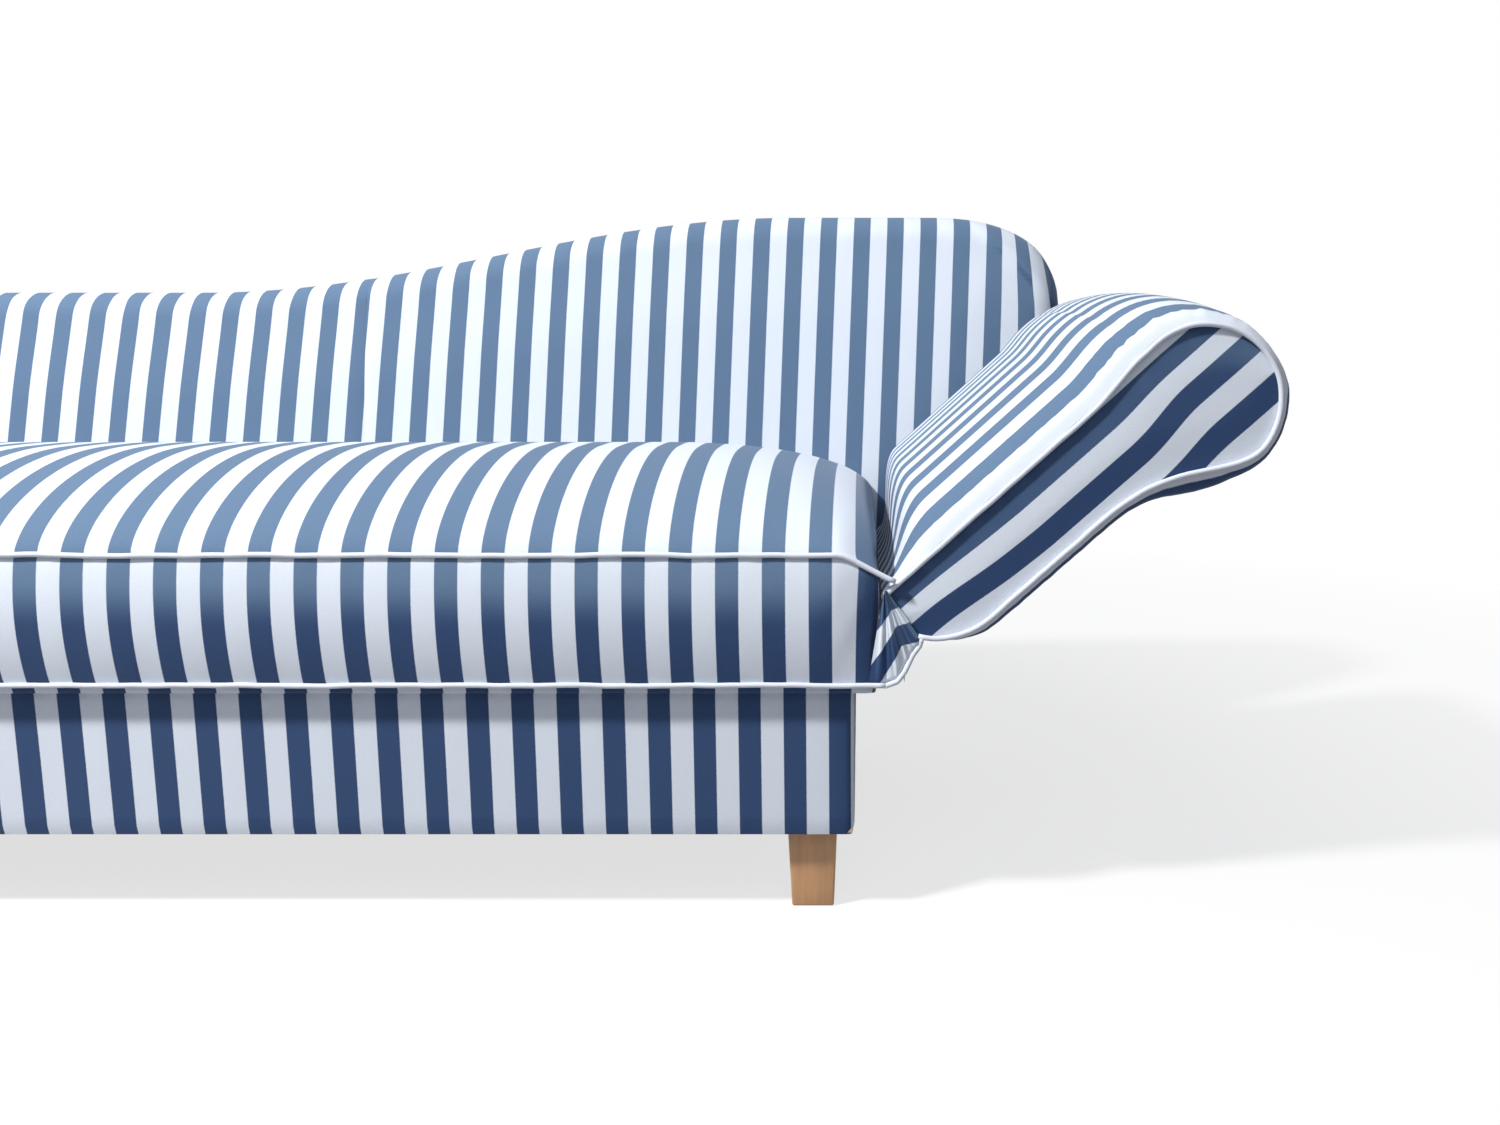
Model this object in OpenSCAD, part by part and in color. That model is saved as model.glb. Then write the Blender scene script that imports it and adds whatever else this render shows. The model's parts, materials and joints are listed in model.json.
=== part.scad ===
// Recamier: a long upholstered seat with a wave-topped back and one rolled arm that tilts.
// X runs along the seat, Y runs from the front to the back, Z is up. The arm is drawn at its lowest stop.

/* [Legs] */
// Height of each leg
leg_h = 95; // [70:5:140]
// Width of each leg where it meets the base
leg_top = 56; // [44:1:70]
// Width of each leg at the floor
leg_foot = 48; // [30:1:60]
// Distance of each leg behind the faces of the base
leg_inset = 20; // [10:1:40]
// Diameter of the hanger bolts
hanger_d = 8; // [6:1:10]

/* [Base] */
// Height of the wooden base box
base_h = 168; // [130:1:200]
// Depth of the base from front to back
base_depth = 655; // [600:5:680]
// Distance of the base behind the seat's front edge
base_setback = 15; // [8:1:25]
// Thickness of the base boards
board = 24; // [18:1:28]

/* [Seat] */
// Length of the seat from the foot end to the arm
seat_l = 1494; // [1300:1:1700]
// Height of the seat's boxing between its two pipings
boxing_h = 143; // [120:1:165]
// How far the boxing bulges at half its height
boxing_bulge = 11; // [4:1:16]
// Rise of the crowned top above the upper piping
crown_h = 97; // [60:1:110]
// Depth of the seat from its front edge to the foot of the back
seat_depth = 532; // [500:1:560]
// Radius of the seat's corner at the foot end
corner_r = 36; // [20:1:60]
// Height of the seat rails
rail_h = 58; // [45:1:64]
// Number of zigzag springs
spring_count = 10; // [6:1:12]
// Radius of the piping cord
piping_r = 3; // [2:0.5:4]

/* [Back] */
// Height of the back's highest point above the floor
back_top = 833; // [780:1:880]
// Height of the back at the foot end
back_low = 720; // [660:1:760]
// Lean of the back from upright
back_lean = 10; // [6:1:14]
// Thickness of the upholstered back
back_t = 160; // [140:1:180]
// Radius of the rolled edge of the back
back_roll = 45; // [30:1:55]
// How far the back reaches past the seat, behind the arm
wing_reach = 284; // [240:1:300]
// Thickness of the back's wooden frame
frame_t = 60; // [45:1:70]
// Width of one length of cloth, which sets the seam of the front cover
cloth_w = 1044; // [900:1:1200]

/* [Arm] */
// Length of the arm from its pivot to the centre of its roll
arm_l = 381; // [340:1:420]
// Angle of the arm above level at its lowest stop
arm_rest = 42; // [36:1:48]
// Depth of the arm
arm_depth = 518; // [480:1:522]
// Thickness of the arm between its faces
arm_t = 101; // [90:1:110]
// Radius of the roll at the arm's end
roll_r = 84; // [72:1:92]
// Distance from the pivot to the arm's inner face
pivot_n = 26; // [24:1:30]
// Swell of the arm's inner face at half its depth
arm_crown = 74; // [40:1:90]
// Thickness of the arm's padding
arm_pad = 11; // [8:1:12]

/* [Tilt fitting] */
// Radius of the hinge pin
pin_r = 5; // [4:0.5:6]
// Running clearance of the hinge pin in the toothed leaf
pin_fit = 0.05; // [0.02:0.01:0.08]
// Thickness of the fitting's steel plates
plate_t = 3; // [2.5:0.5:4]
// Radius of the toothed sector
sector_r = 24; // [22:0.5:25]
// Angle between two notches
notch_step = 8; // [6:1:10]
// Number of steps from the lowest to the highest position
notch_count = 6; // [4:1:6]

/* [Hidden] */
$fn = 48;
skin = 2;
gap = 0.4;
plate_fit = 0.3;
blue = [0.30, 0.42, 0.57];
pale = [0.90, 0.92, 0.97];
beech = [0.72, 0.53, 0.36];
timber = [0.80, 0.68, 0.50];
steel = [0.62, 0.64, 0.67];
wadding = [0.93, 0.92, 0.88];

// Places along X: the overall box is centred on the origin
foot_proud = boxing_bulge;
pivot_dx = 28;
roll_rise = 10;
roll_proud = 9.3;
arm_reach = pivot_dx + arm_l * cos(arm_rest) + (roll_r - pivot_n - roll_rise) * sin(arm_rest) + roll_r
    + roll_proud;
seat_x1 = (seat_l + foot_proud - arm_reach) / 2;
seat_x0 = seat_x1 - seat_l;
pivot_x = seat_x1 + pivot_dx;
base_x0 = seat_x0 + base_setback + 11;
base_x1 = seat_x1 - base_setback - 11;

// Places along Z
base_z = leg_h + 2;
base_top = leg_h + base_h;
seat_z = base_top + 9;
seat_edge_z = seat_z + boxing_h;
pivot_z = seat_edge_z - 57;
rail_z = base_top + 3;
spring_z = rail_z + rail_h;
felt_z = spring_z + 5;
felt_t = 5;

// Places along Y: the front edge is the plane of the two pipings
back_rise = (back_top - seat_z) / cos(back_lean);
arm_front_gap = 8;
arm_rear_gap = 6;
base_over = 120;
back_foot = max(seat_depth, arm_depth + arm_front_gap + arm_rear_gap);
overall_depth = boxing_bulge + back_foot + back_t * cos(back_lean)
    + (back_rise - back_roll) * sin(back_lean);
front_y = -overall_depth / 2 + boxing_bulge;
base_y0 = front_y + base_setback;
base_y1 = base_y0 + max(base_depth, back_foot + base_over);
seat_y1 = front_y + back_foot - 4;
rest_y = front_y + back_foot;
arm_y0 = front_y + arm_front_gap;
arm_y1 = arm_y0 + arm_depth;

// Helpers

function arc(c, r, a0, a1, n) =
    [for (i = [0:n]) let(a = a0 + (a1 - a0) * i / n) [c[0] + r * cos(a), c[1] + r * sin(a)]];
function clamp01(t) = min(1, max(0, t));
function smooth(t) = let(u = clamp01(t)) u * u * (3 - 2 * u);
function reversed(v) = [for (i = [len(v) - 1:-1:0]) v[i]];

// A closed solid through rings of equal length. A sheet's rings run out along one face and back
// along the other, so its end caps are strips between the two.
module loft(rings, sheet = false) {
    n = len(rings[0]);
    m = len(rings);
    top = (m - 1) * n;
    sides = [for (j = [0:m - 2], i = [0:n - 1]) let(a = j * n + i, b = j * n + (i + 1) % n)
        each (sheet && i >= n / 2 ? [[a, b, a + n], [b, b + n, a + n]]
            : [[a, b, b + n], [a, b + n, a + n]])];
    plain_caps = [[for (i = [n - 1:-1:0]) i], [for (i = [0:n - 1]) top + i]];
    strip_caps = [for (i = [0:n / 2 - 2]) let(k = n - 1 - i)
        each [[i, k, i + 1], [i + 1, k, k - 1],
            [top + i, top + i + 1, top + k], [top + i + 1, top + k - 1, top + k]]];
    polyhedron([for (r = rings) each r], concat(sheet ? strip_caps : plain_caps, sides),
        convexity = 10);
}

// A round cord of eight sides along a list of points that lie square to the axis
module cord(points, r, axis) {
    last = len(points) - 1;
    rings = [for (i = [0:last]) let(
        t = points[min(last, i + 1)] - points[max(0, i - 1)],
        d = t / norm(t),
        side = cross(d, axis))
        [for (k = [0:7]) points[i] + r * (cos(45 * k) * side + sin(45 * k) * axis)]];
    loft(rings);
}

// Legs and base

leg_off = leg_inset + leg_top / 2;
leg_xs = [base_x0 + leg_off, base_x1 - leg_off];
leg_ys = [base_y0 + leg_off, base_y1 - leg_off];

module leg_slab(a, b) {
    translate([0, leg_top, 0]) rotate([90, 0, 0]) linear_extrude(2 * leg_top)
        polygon([[-a / 2, 0], [a / 2, 0], [b / 2, leg_h], [-b / 2, leg_h]]);
}

module leg(x, y) {
    color(beech) translate([x, y, 0]) difference() {
        intersection() {
            leg_slab(leg_foot, leg_top);
            rotate([0, 0, 90]) leg_slab(leg_foot, leg_top);
        }
        translate([0, 0, leg_h - 40]) cylinder(d = hanger_d + 0.2, h = 41);
    }
}

module at_legs() {
    for (x = leg_xs, y = leg_ys) translate([x, y, 0]) children();
}

module leg_plates() {
    color(steel) at_legs() translate([0, 0, leg_h]) difference() {
        translate([-leg_top / 2, -leg_top / 2, 0]) cube([leg_top, leg_top, 2]);
        translate([0, 0, -1]) cylinder(d = hanger_d + 0.2, h = 4);
    }
}

hanger_in = 39;
hanger_l = 85;

module hanger_bolts() {
    color(steel) at_legs() translate([0, 0, leg_h - hanger_in]) cylinder(d = hanger_d, h = hanger_l);
}

module base_board(x0, y0, x1, y1) {
    color(timber) translate([x0, y0, base_z]) cube([x1 - x0, y1 - y0, base_top - base_z]);
}

frame_x0 = base_x0 + skin + gap;
frame_x1 = base_x1 - skin - gap;
frame_y0 = base_y0 + skin + gap;
frame_y1 = base_y1 - skin - gap;

module base_front_rail() { base_board(frame_x0, frame_y0, frame_x1, frame_y0 + board); }
module base_rear_rail() { base_board(frame_x0, frame_y1 - board, frame_x1, frame_y1); }
module base_left_rail() {
    base_board(frame_x0, frame_y0 + board, frame_x0 + board, frame_y1 - board);
}
module base_right_rail() {
    base_board(frame_x1 - board, frame_y0 + board, frame_x1, frame_y1 - board);
}

beam_w = 60;
beam_h = 50;
beam_back = 62;
beam_y0 = rest_y + beam_back;

module base_cross_rails() {
    for (k = [1, 2]) let(x = base_x0 + (base_x1 - base_x0) * k / 3)
        base_board(x - board / 2, frame_y0 + board, x + board / 2, beam_y0);
}

module base_back_beam() {
    color(timber) difference() {
        translate([frame_x0 + board, beam_y0, base_top - beam_h])
            cube([frame_x1 - frame_x0 - 2 * board, min(beam_w, frame_y1 - board - beam_y0), beam_h]);
        back_bolt_holes();
    }
}

block_h = 70;

module base_corner_blocks() {
    inner = leg_off + hanger_d * 2.2;
    color(timber) difference() {
        for (sx = [0, 1], sy = [0, 1]) {
            x0 = sx == 0 ? frame_x0 + board : base_x1 - inner;
            x1 = sx == 0 ? base_x0 + inner : frame_x1 - board;
            y0 = sy == 0 ? frame_y0 + board : base_y1 - inner;
            y1 = sy == 0 ? base_y0 + inner : frame_y1 - board;
            translate([x0, y0, base_z]) cube([x1 - x0, y1 - y0, block_h]);
        }
        at_legs() translate([0, 0, base_z - 1]) cylinder(d = hanger_d + 0.2, h = block_h + 2);
    }
}

cover_r = 4;

module base_outline(inset) {
    r = cover_r - inset;
    w = base_x1 - base_x0 - 2 * inset;
    d = base_y1 - base_y0 - 2 * inset;
    translate([base_x0 + inset, base_y0 + inset]) {
        translate([r, 0]) square([w - 2 * r, d]);
        translate([0, r]) square([w, d - 2 * r]);
        for (x = [r, w - r], y = [r, d - r]) translate([x, y]) circle(r = r);
    }
}

module base_cover() {
    color(pale) translate([0, 0, leg_h]) linear_extrude(base_top - leg_h) difference() {
        base_outline(0);
        translate([frame_x0 - gap, frame_y0 - gap])
            square([frame_x1 - frame_x0 + 2 * gap, frame_y1 - frame_y0 + 2 * gap]);
    }
}

module dust_cover() {
    edge = 12;
    color([0.2, 0.2, 0.22]) difference() {
        translate([base_x0 + edge, base_y0 + edge, base_z - 1.2])
            cube([base_x1 - base_x0 - 2 * edge, base_y1 - base_y0 - 2 * edge, 1]);
        at_legs() translate([-leg_top / 2 - 2, -leg_top / 2 - 2, 0])
            cube([leg_top + 4, leg_top + 4, base_z + 10]);
    }
}

// Seat

wall = skin + gap;
rail_x0 = seat_x0 + wall + 4;
rail_x1 = seat_x1 - wall;
rail_y0 = front_y + wall + 4;
rail_y1 = seat_y1 - 4;

module seat_rail(x0, y0, x1, y1) {
    color(timber) translate([x0, y0, base_top]) cube([x1 - x0, y1 - y0, spring_z - base_top]);
}

module seat_front_rail() { seat_rail(rail_x0 + corner_r / 2, rail_y0, rail_x1, rail_y0 + board); }
module seat_rear_rail() { seat_rail(rail_x0, rail_y1 - board, rail_x1, rail_y1); }
module seat_left_rail() {
    difference() {
        seat_rail(rail_x0, rail_y0 + corner_r / 2, rail_x0 + board, rail_y1 - board);
        seat_front_rail_space();
    }
}
module seat_front_rail_space() {
    translate([rail_x0 + corner_r / 2, rail_y0, base_top - 1]) cube([seat_l, board, 2 * boxing_h]);
}
module seat_right_rail() {
    seat_rail(rail_x1 - board, rail_y0 + board, rail_x1, rail_y1 - board);
}

wire = 3.6;
spring_w = 46;
spring_pitch = 26;
spring_xs = [for (i = [0:spring_count - 1])
    rail_x0 + board + (rail_x1 - rail_x0 - 2 * board) * (i + 0.5) / spring_count];

module flat_wire(path, w) {
    last = len(path) - 1;
    left = [for (i = [0:last]) let(t = path[min(last, i + 1)] - path[max(0, i - 1)], d = t / norm(t))
        path[i] + w / 2 * [-d[1], d[0]]];
    right = [for (i = [0:last]) let(t = path[min(last, i + 1)] - path[max(0, i - 1)], d = t / norm(t))
        path[i] - w / 2 * [-d[1], d[0]]];
    linear_extrude(w) polygon(concat(left, reversed(right)));
}

// Each spring's straight runs lie across the seat and half-round bends join them
module seat_springs() {
    y0 = rail_y0 + board / 2;
    y1 = rail_y1 - board / 2;
    n = 2 * floor((y1 - y0) / spring_pitch / 2);
    p = (y1 - y0) / n;
    bend = p / 2;
    path = concat([[0, y0]], [for (i = [0:n - 1]) let(s = i % 2 == 0 ? 1 : -1, y = y0 + p * i)
        each [for (a = [-80:40:80]) [s * (spring_w / 2 - bend + bend * cos(a)),
            y + bend + bend * sin(a)]]], [[0, y1]]);
    color(steel) for (x = spring_xs) translate([x, 0, spring_z + 0.2]) flat_wire(path, wire);
}

module spring_clips() {
    color(steel) for (x = spring_xs, y = [rail_y0 + board / 2, rail_y1 - board / 2])
        translate([x - 9, y - 5, spring_z]) difference() {
            cube([18, 10, 4.8]);
            translate([-1, -1, -1]) cube([20, 20, wire + 1.4]);
        }
}

module seat_felt() {
    color([0.55, 0.55, 0.53]) translate([rail_x0 + 8, rail_y0 + 12, felt_z])
        cube([rail_x1 - rail_x0 - 10, rail_y1 - rail_y0 - 14, felt_t]);
}

crown_reach = 275;
seat_back_lift = (seat_edge_z - seat_z) * tan(back_lean);

function dome(e, p) = let(t = clamp01(e / crown_reach)) pow(max(0, 1 - (1 - t) * (1 - t)), p);

// Height of the crowned top above the piping, at a distance from the front, foot and arm ends
function crown(dy, e0, e1) = crown_h * dome(dy, 0.65) * dome(e0, 0.5) * dome(e1, 0.35)
    * (1 - 0.35 * pow(clamp01((dy - 300) / 256), 2.5));

// How far the front edge steps back at the rounded foot-end corner
function corner_step(e) = e >= corner_r ? 0
    : corner_r - sqrt(corner_r * corner_r - (corner_r - e) * (corner_r - e));

seat_columns = 22;
seat_rows = 12;
seat_xs = [for (j = [0:seat_columns]) seat_x0 + seat_l * (1 - cos(180 * j / seat_columns)) / 2];
seat_vs = [for (i = [0:seat_rows]) 1 - cos(90 * i / seat_rows)];
seat_top_y1 = seat_y1 + seat_back_lift - 1;
end_r = 8;

function seat_row(x, inset) = let(e0 = x - seat_x0, e1 = seat_x1 - x,
    y0 = front_y + corner_step(max(0.01, e0)) + inset, y1 = seat_top_y1 - inset)
    [for (v = seat_vs) [x, y0 + (y1 - y0) * v,
        seat_edge_z + crown(v * (y1 - y0), e0, e1) - inset]];

function squeeze(x, inset) = seat_x0 + inset + (x - seat_x0) * (seat_l - 2 * inset) / seat_l;
function moved_x(row, x) = [for (p = row) [x, p[1], p[2]]];

module seat_foam() {
    inset = skin + 3 * gap;
    z0 = felt_z + felt_t + gap;
    swell = boxing_bulge * 0.6;
    color(wadding) loft([for (x = seat_xs) let(e0 = x - seat_x0,
        step = corner_step(max(0.01, e0)) + inset + 3.4 * (1 - clamp01((seat_x1 - x) / end_r)),
        top = moved_x(seat_row(x, inset), squeeze(x, inset)),
        xx = squeeze(x, inset), edge = front_y + step,
        side = smooth((e0 + 4) / 60) * smooth((seat_x1 - x) / 70) * swell)
        concat([[xx, edge, z0], [xx, edge - side * 0.8, (z0 + seat_edge_z) / 2 + 2]], top,
            [[xx, seat_y1 + 10, z0]])]);
}

module seat_top_panel() {
    color(blue) loft([for (x = seat_xs)
        concat(reversed(moved_x(seat_row(x, skin), squeeze(x, skin))), seat_row(x, 0))], true);
}

// Boxing: a strip of cloth round the foot end, the front and the arm end
boxing_path = concat([[seat_x0, seat_y1], [seat_x0, front_y + corner_r + 130]],
    arc([seat_x0 + corner_r, front_y + corner_r], corner_r, 180, 270, 6),
    [[seat_x0 + corner_r + 60, front_y], [seat_x1 - 60, front_y]],
    arc([seat_x1 - end_r, front_y + end_r], end_r, 270, 360, 3),
    [[seat_x1, front_y + 40], [seat_x1, seat_y1]]);

function path_normal(path, i) = let(last = len(path) - 1,
    t = path[min(last, i + 1)] - path[max(0, i - 1)], d = t / norm(t)) [d[1], -d[0]];

// The strip lies flat where the arm stands against it
function bulge_at(p) = boxing_bulge * smooth((seat_x1 - p[0]) / 60);

module seat_boxing() {
    levels = [for (k = [0:6]) k / 6];
    h = seat_edge_z - seat_z - skin - gap;
    color(pale) loft([for (i = [0:len(boxing_path) - 1]) let(p = boxing_path[i],
        n = path_normal(boxing_path, i), b = bulge_at(p))
        concat([for (s = levels) let(q = p + n * b * sin(180 * s)) [q[0], q[1], seat_z + h * s]],
            [for (s = reversed(levels)) let(q = p + n * (b * sin(180 * s) - skin))
                [q[0], q[1], seat_z + h * s]])], true);
}

// The path of a piping in front of the boxing, up to where the front meets the arm end
function piping_path(z) = [for (i = [0:len(boxing_path) - 6])
    let(p = boxing_path[i] + path_normal(boxing_path, i) * (piping_r + 0.3)) [p[0], p[1], z]];

module seat_upper_piping() {
    color(pale) cord(piping_path(seat_edge_z), piping_r, [0, 0, 1]);
}

hinge_x1 = pivot_x - pivot_dx + pivot_n + 3;

module seat_lower_piping() {
    z = seat_z - 0.2;
    y = front_y - piping_r - 0.3;
    r = 10;
    color(pale) cord(concat(piping_path(z),
        [for (p = arc([hinge_x1 - r + 0.3, y + r], r + piping_r, 270, 350, 3)) [p[0], p[1] + piping_r, z]],
        [[hinge_x1 + piping_r + 0.3, y + 40, z], [hinge_x1 + piping_r + 0.3, arm_y1, z]]),
        piping_r, [0, 0, 1]);
}

// Back, drawn in its own plane: x, thickness t from the front face, height w up the lean

wave_x0 = seat_x0 + 474;
wave_x1 = seat_x1 - 120;
back_x0 = seat_x0 + 6;
back_x1 = seat_x1 + wing_reach;
wing_l = 204;
wing_mid = back_top - 133;
foot_r = 80;
wing_x0 = seat_x1 + 4;

// Top outline: low run, wave, high run and rounded ends, as heights above the floor
function outline_z(x) = let(
    wave = back_low + (back_top - back_low) * (1 - cos(180 * clamp01((x - wave_x0)
        / (wave_x1 - wave_x0)))) / 2,
    e = x - back_x0,
    round0 = e < foot_r ? foot_r - sqrt(max(0, foot_r * foot_r - (foot_r - e) * (foot_r - e))) : 0,
    u = clamp01((x - (back_x1 - wing_l)) / wing_l))
    x > back_x1 - wing_l ? wing_mid + (back_top - wing_mid) * pow(1 - pow(u, 2.4), 1 / 2.4)
    : wave - round0;

// Lower outline: level behind the seat, then a quarter round up to the wing's tip
function lower_z(x) = x < wing_x0 ? seat_z
    : wing_mid - (wing_mid - seat_z - 28 * smooth((x - wing_x0) / 30))
        * sqrt(max(0, 1 - pow((x - wing_x0) / (back_x1 - wing_x0), 2)));

function up_lean(z) = (z - seat_z) / cos(back_lean);

module in_back() {
    translate([0, rest_y, seat_z]) rotate([-back_lean, 0, 0]) children();
}

// A board in the back's plane between two depths, from an outline in x and w
module back_board(t0, t1) {
    in_back() translate([0, t1, 0]) rotate([90, 0, 0]) linear_extrude(t1 - t0) children();
}

back_stations = concat(
    [for (a = [0:18:90]) back_x0 + 0.5 + foot_r * (1 - cos(a))],
    [for (x = [back_x0 + 190:110:seat_x1 - 60]) x],
    [seat_x1 - 6, seat_x1 + 4, seat_x1 + 34],
    [for (a = [10:13:75]) seat_x1 + 34 + (wing_reach - 34) * sin(a)],
    [back_x1 - 4, back_x1 - 0.6]);

// Thickness share of the section, less towards the wing's rounded end
function slim(x) = let(e = back_x1 - x) e >= back_roll ? 1
    : max(0.3, sqrt(1 - pow((back_roll - e) / back_roll, 2)));
function foot_w(t) = t * tan(back_lean) + 0.4;

// Front, roll and top of one section, inset all round, from the foot up and over to the rear
function back_path(x, inset) = let(
    w1 = up_lean(outline_z(x)) - inset,
    low = up_lean(lower_z(x)),
    w0 = low + (x > wing_x0 ? inset : 0),
    r = min(back_roll, (w1 - w0) / 2 - 1) - inset * 0.5,
    rb = 2 + (x > wing_x0 ? min(28, r - 2) * smooth((x - wing_x0) / 40) : 0),
    puff = 7,
    foot = x > wing_x0 ? 0 : 0.4)
    concat(
        [for (p = arc([inset + rb, w0 + rb + foot], rb, 260, 190, 2)) p],
        [for (k = [1:5]) let(s = k / 6, w = w0 + rb + (w1 - r - w0 - rb) * s)
            [inset - puff * sin(180 * s) * smooth((w1 - w0) / 200), w]],
        arc([inset + r, w1 - r], r, 180, 90, 5),
        arc([back_t - inset - r, w1 - r], r, 90, 8, 4),
        [[back_t - inset, w1 - r - 6 + inset]]);

function placed(path, x) = let(k = slim(x))
    [for (p = path) [x, back_t / 2 + (p[0] - back_t / 2) * k, p[1]]];

layer_t = 59;
top_layer = 56;

module back_foam() {
    inset = skin + 3 * gap;
    color(wadding) in_back() loft([for (x = reversed(back_stations)) if (x < back_x1 - 2) let(
        top = up_lean(outline_z(x)), path = back_path(x, inset),
        w0 = x > wing_x0 ? up_lean(lower_z(x)) + inset + 1 : foot_w(layer_t),
        sill = max(w0 + 2, top - top_layer))
        placed(concat(path, [[back_t - inset, sill], [layer_t, sill], [layer_t, w0]]), x)]);
}

module back_cover(x0, x1) {
    inner = [for (x = back_stations) if (x > x0 + 1 && x < x1 - 1) x];
    xs = concat([max(x0, back_stations[0])], [for (x = inner) if (x > back_stations[0]) x],
        [min(x1, back_stations[len(back_stations) - 1])]);
    in_back() loft([for (x = xs)
        placed(concat(back_path(x, 0), reversed(back_path(x, skin))), x)], true);
}

seam_x = back_x1 - cloth_w;

module back_cover_left() { color(blue) back_cover(back_x0, seam_x - 0.2); }
module back_cover_right() { color(pale) back_cover(seam_x + 0.2, back_x1); }

frame_t0 = layer_t + 3;
frame_t1 = frame_t0 + frame_t;
frame_x_left = back_x0 + foot_r / 2;
frame_x_right = back_x1 - 70;
lower_rail_w = 62;
top_rail_h = 60;
drop = top_layer + 1;
lower_rail_w0 = foot_w(frame_t1) + 1;

module back_lower_rail() {
    color(timber) difference() {
        back_board(frame_t0, frame_t1)
            translate([frame_x_left, lower_rail_w0]) square([wing_x0 - 8 - frame_x_left, lower_rail_w]);
        back_bolt_holes();
    }
}

function run_xs(x0, x1, n) = [for (i = [0:n]) x0 + (x1 - x0) * i / n];
function top_w(x) = up_lean(outline_z(x)) - drop;
function low_w(x) = up_lean(lower_z(x)) + 34;

rail_xs = run_xs(frame_x_left, frame_x_right, 24);

module back_top_rail() {
    color(timber) back_board(frame_t0, frame_t1) polygon(concat([for (x = rail_xs) [x, top_w(x)]],
        [for (x = reversed(rail_xs)) [x, top_w(x) - top_rail_h]]));
}

wing_rail_h = 40;

module back_wing_rail() {
    xs = run_xs(wing_x0 - 8, frame_x_right, 10);
    color(timber) back_board(frame_t0, frame_t1) polygon(concat(
        [for (x = xs) [x, max(low_w(x), lower_rail_w0)]],
        [for (x = reversed(xs)) [x, min(max(low_w(x), lower_rail_w0) + wing_rail_h,
            top_w(x) - top_rail_h - 0.3)]]));
}

post_w = 60;
post_xs = [for (k = [0:4]) frame_x_left + (wing_x0 - 8 - post_w - frame_x_left) * k / 4];

module back_posts() {
    w0 = lower_rail_w0 + lower_rail_w;
    color(timber) back_board(frame_t0, frame_t1) difference() {
        for (x = post_xs) translate([x, w0]) square([post_w, back_rise]);
        polygon(concat([for (x = rail_xs) [x, top_w(x) - top_rail_h - 0.2]],
            [[rail_xs[len(rail_xs) - 1], 2 * back_rise], [rail_xs[0] - 1, 2 * back_rise],
                [rail_xs[0] - 1, top_w(rail_xs[0]) - top_rail_h - 0.2]]));
    }
}

strap_w = 50;
strap_step = 110;

module back_webbing() {
    w0 = lower_rail_w0 + 12;
    color([0.75, 0.68, 0.5]) back_board(frame_t0 - 2.2, frame_t0 - 0.2)
        for (x = [frame_x_left + 70:strap_step:wing_x0 - 70])
            translate([x, w0]) square([strap_w, min(top_w(x), top_w(x + strap_w)) - 20 - w0]);
}

pad_t1 = back_t - skin - gap - 1;
pad_w0 = foot_w(back_t) + 1;

module rear_outline(low, high, x0, x1) {
    xs = run_xs(x0, x1, 26);
    polygon(concat([for (x = xs) [x, up_lean(outline_z(x)) - high]],
        [for (x = reversed(xs)) [x, max(pad_w0, x < wing_x0 ? 0 : up_lean(lower_z(x)) + low)]]));
}

module back_rear_pad() {
    color(wadding) back_board(frame_t1 + gap, pad_t1)
        rear_outline(8, drop + 2, frame_x_left, frame_x_right + 10);
}

module back_rear_cover() {
    color(pale) back_board(back_t - skin, back_t)
        rear_outline(3, back_roll + 9, back_x0 + 3, back_x1 - 34);
}

bolt_xs = [for (k = [0:3]) frame_x_left + 140 + (wing_x0 - 300 - frame_x_left) * k / 3];
bolt_t = frame_t0 + frame_t / 2;

module back_bolt_holes() {
    in_back() for (x = bolt_xs) translate([x, bolt_t, -70]) cylinder(d = 8.4, h = 160);
}

module back_bolts() {
    color(steel) in_back() for (x = bolt_xs) translate([x, bolt_t, -40]) {
        cylinder(d = 8, h = lower_rail_w0 + lower_rail_w + 40);
        translate([0, 0, lower_rail_w0 + lower_rail_w + 40]) cylinder(d = 16, h = 5);
    }
}

// Arm, drawn in its own plane: s along the arm from the pivot, n square to it

roll_c = [arm_l, pivot_n + roll_rise - roll_r];
under_n = pivot_n - arm_t;
fillet_gap = roll_c[1] - under_n;
fillet_dx = 130;
fillet_r = (fillet_dx * fillet_dx + fillet_gap * fillet_gap - roll_r * roll_r)
    / (2 * (roll_r - fillet_gap));
fillet_c = [roll_c[0] - fillet_dx, under_n - fillet_r];
fillet_a = atan2(fillet_c[1] - roll_c[1], fillet_c[0] - roll_c[0]);
heel_r = 90;
heel_c = [60, under_n + heel_r];
heel_a = 215;
crease_a = 118;
neck_s = 284;
roll_a = 98;

// Open outline from the crease over the inner face, the roll and the underside to the heel
function arm_path(d) = concat(
    arc([0, 0], pivot_n - d, crease_a, 92, 2),
    [for (s = [30:42:neck_s]) [s, pivot_n - d]],
    [for (k = [1:2]) [neck_s + k * (arm_l - neck_s) / 4, pivot_n + roll_rise * smooth(k / 3.2) - d]],
    arc(roll_c, roll_r - d, roll_a, fillet_a, 13),
    arc(fillet_c, fillet_r + d, fillet_a + 188, 90, 4),
    [for (k = [1:2]) [fillet_c[0] + (heel_c[0] - fillet_c[0]) * k / 3, under_n + d]],
    arc(heel_c, heel_r - d, 270, heel_a, 4));

arm_base = arm_path(0);
arm_step = arm_path(1);
arm_out = [for (i = [0:len(arm_base) - 1]) let(v = arm_base[i] - arm_step[i]) v / norm(v)];

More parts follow.
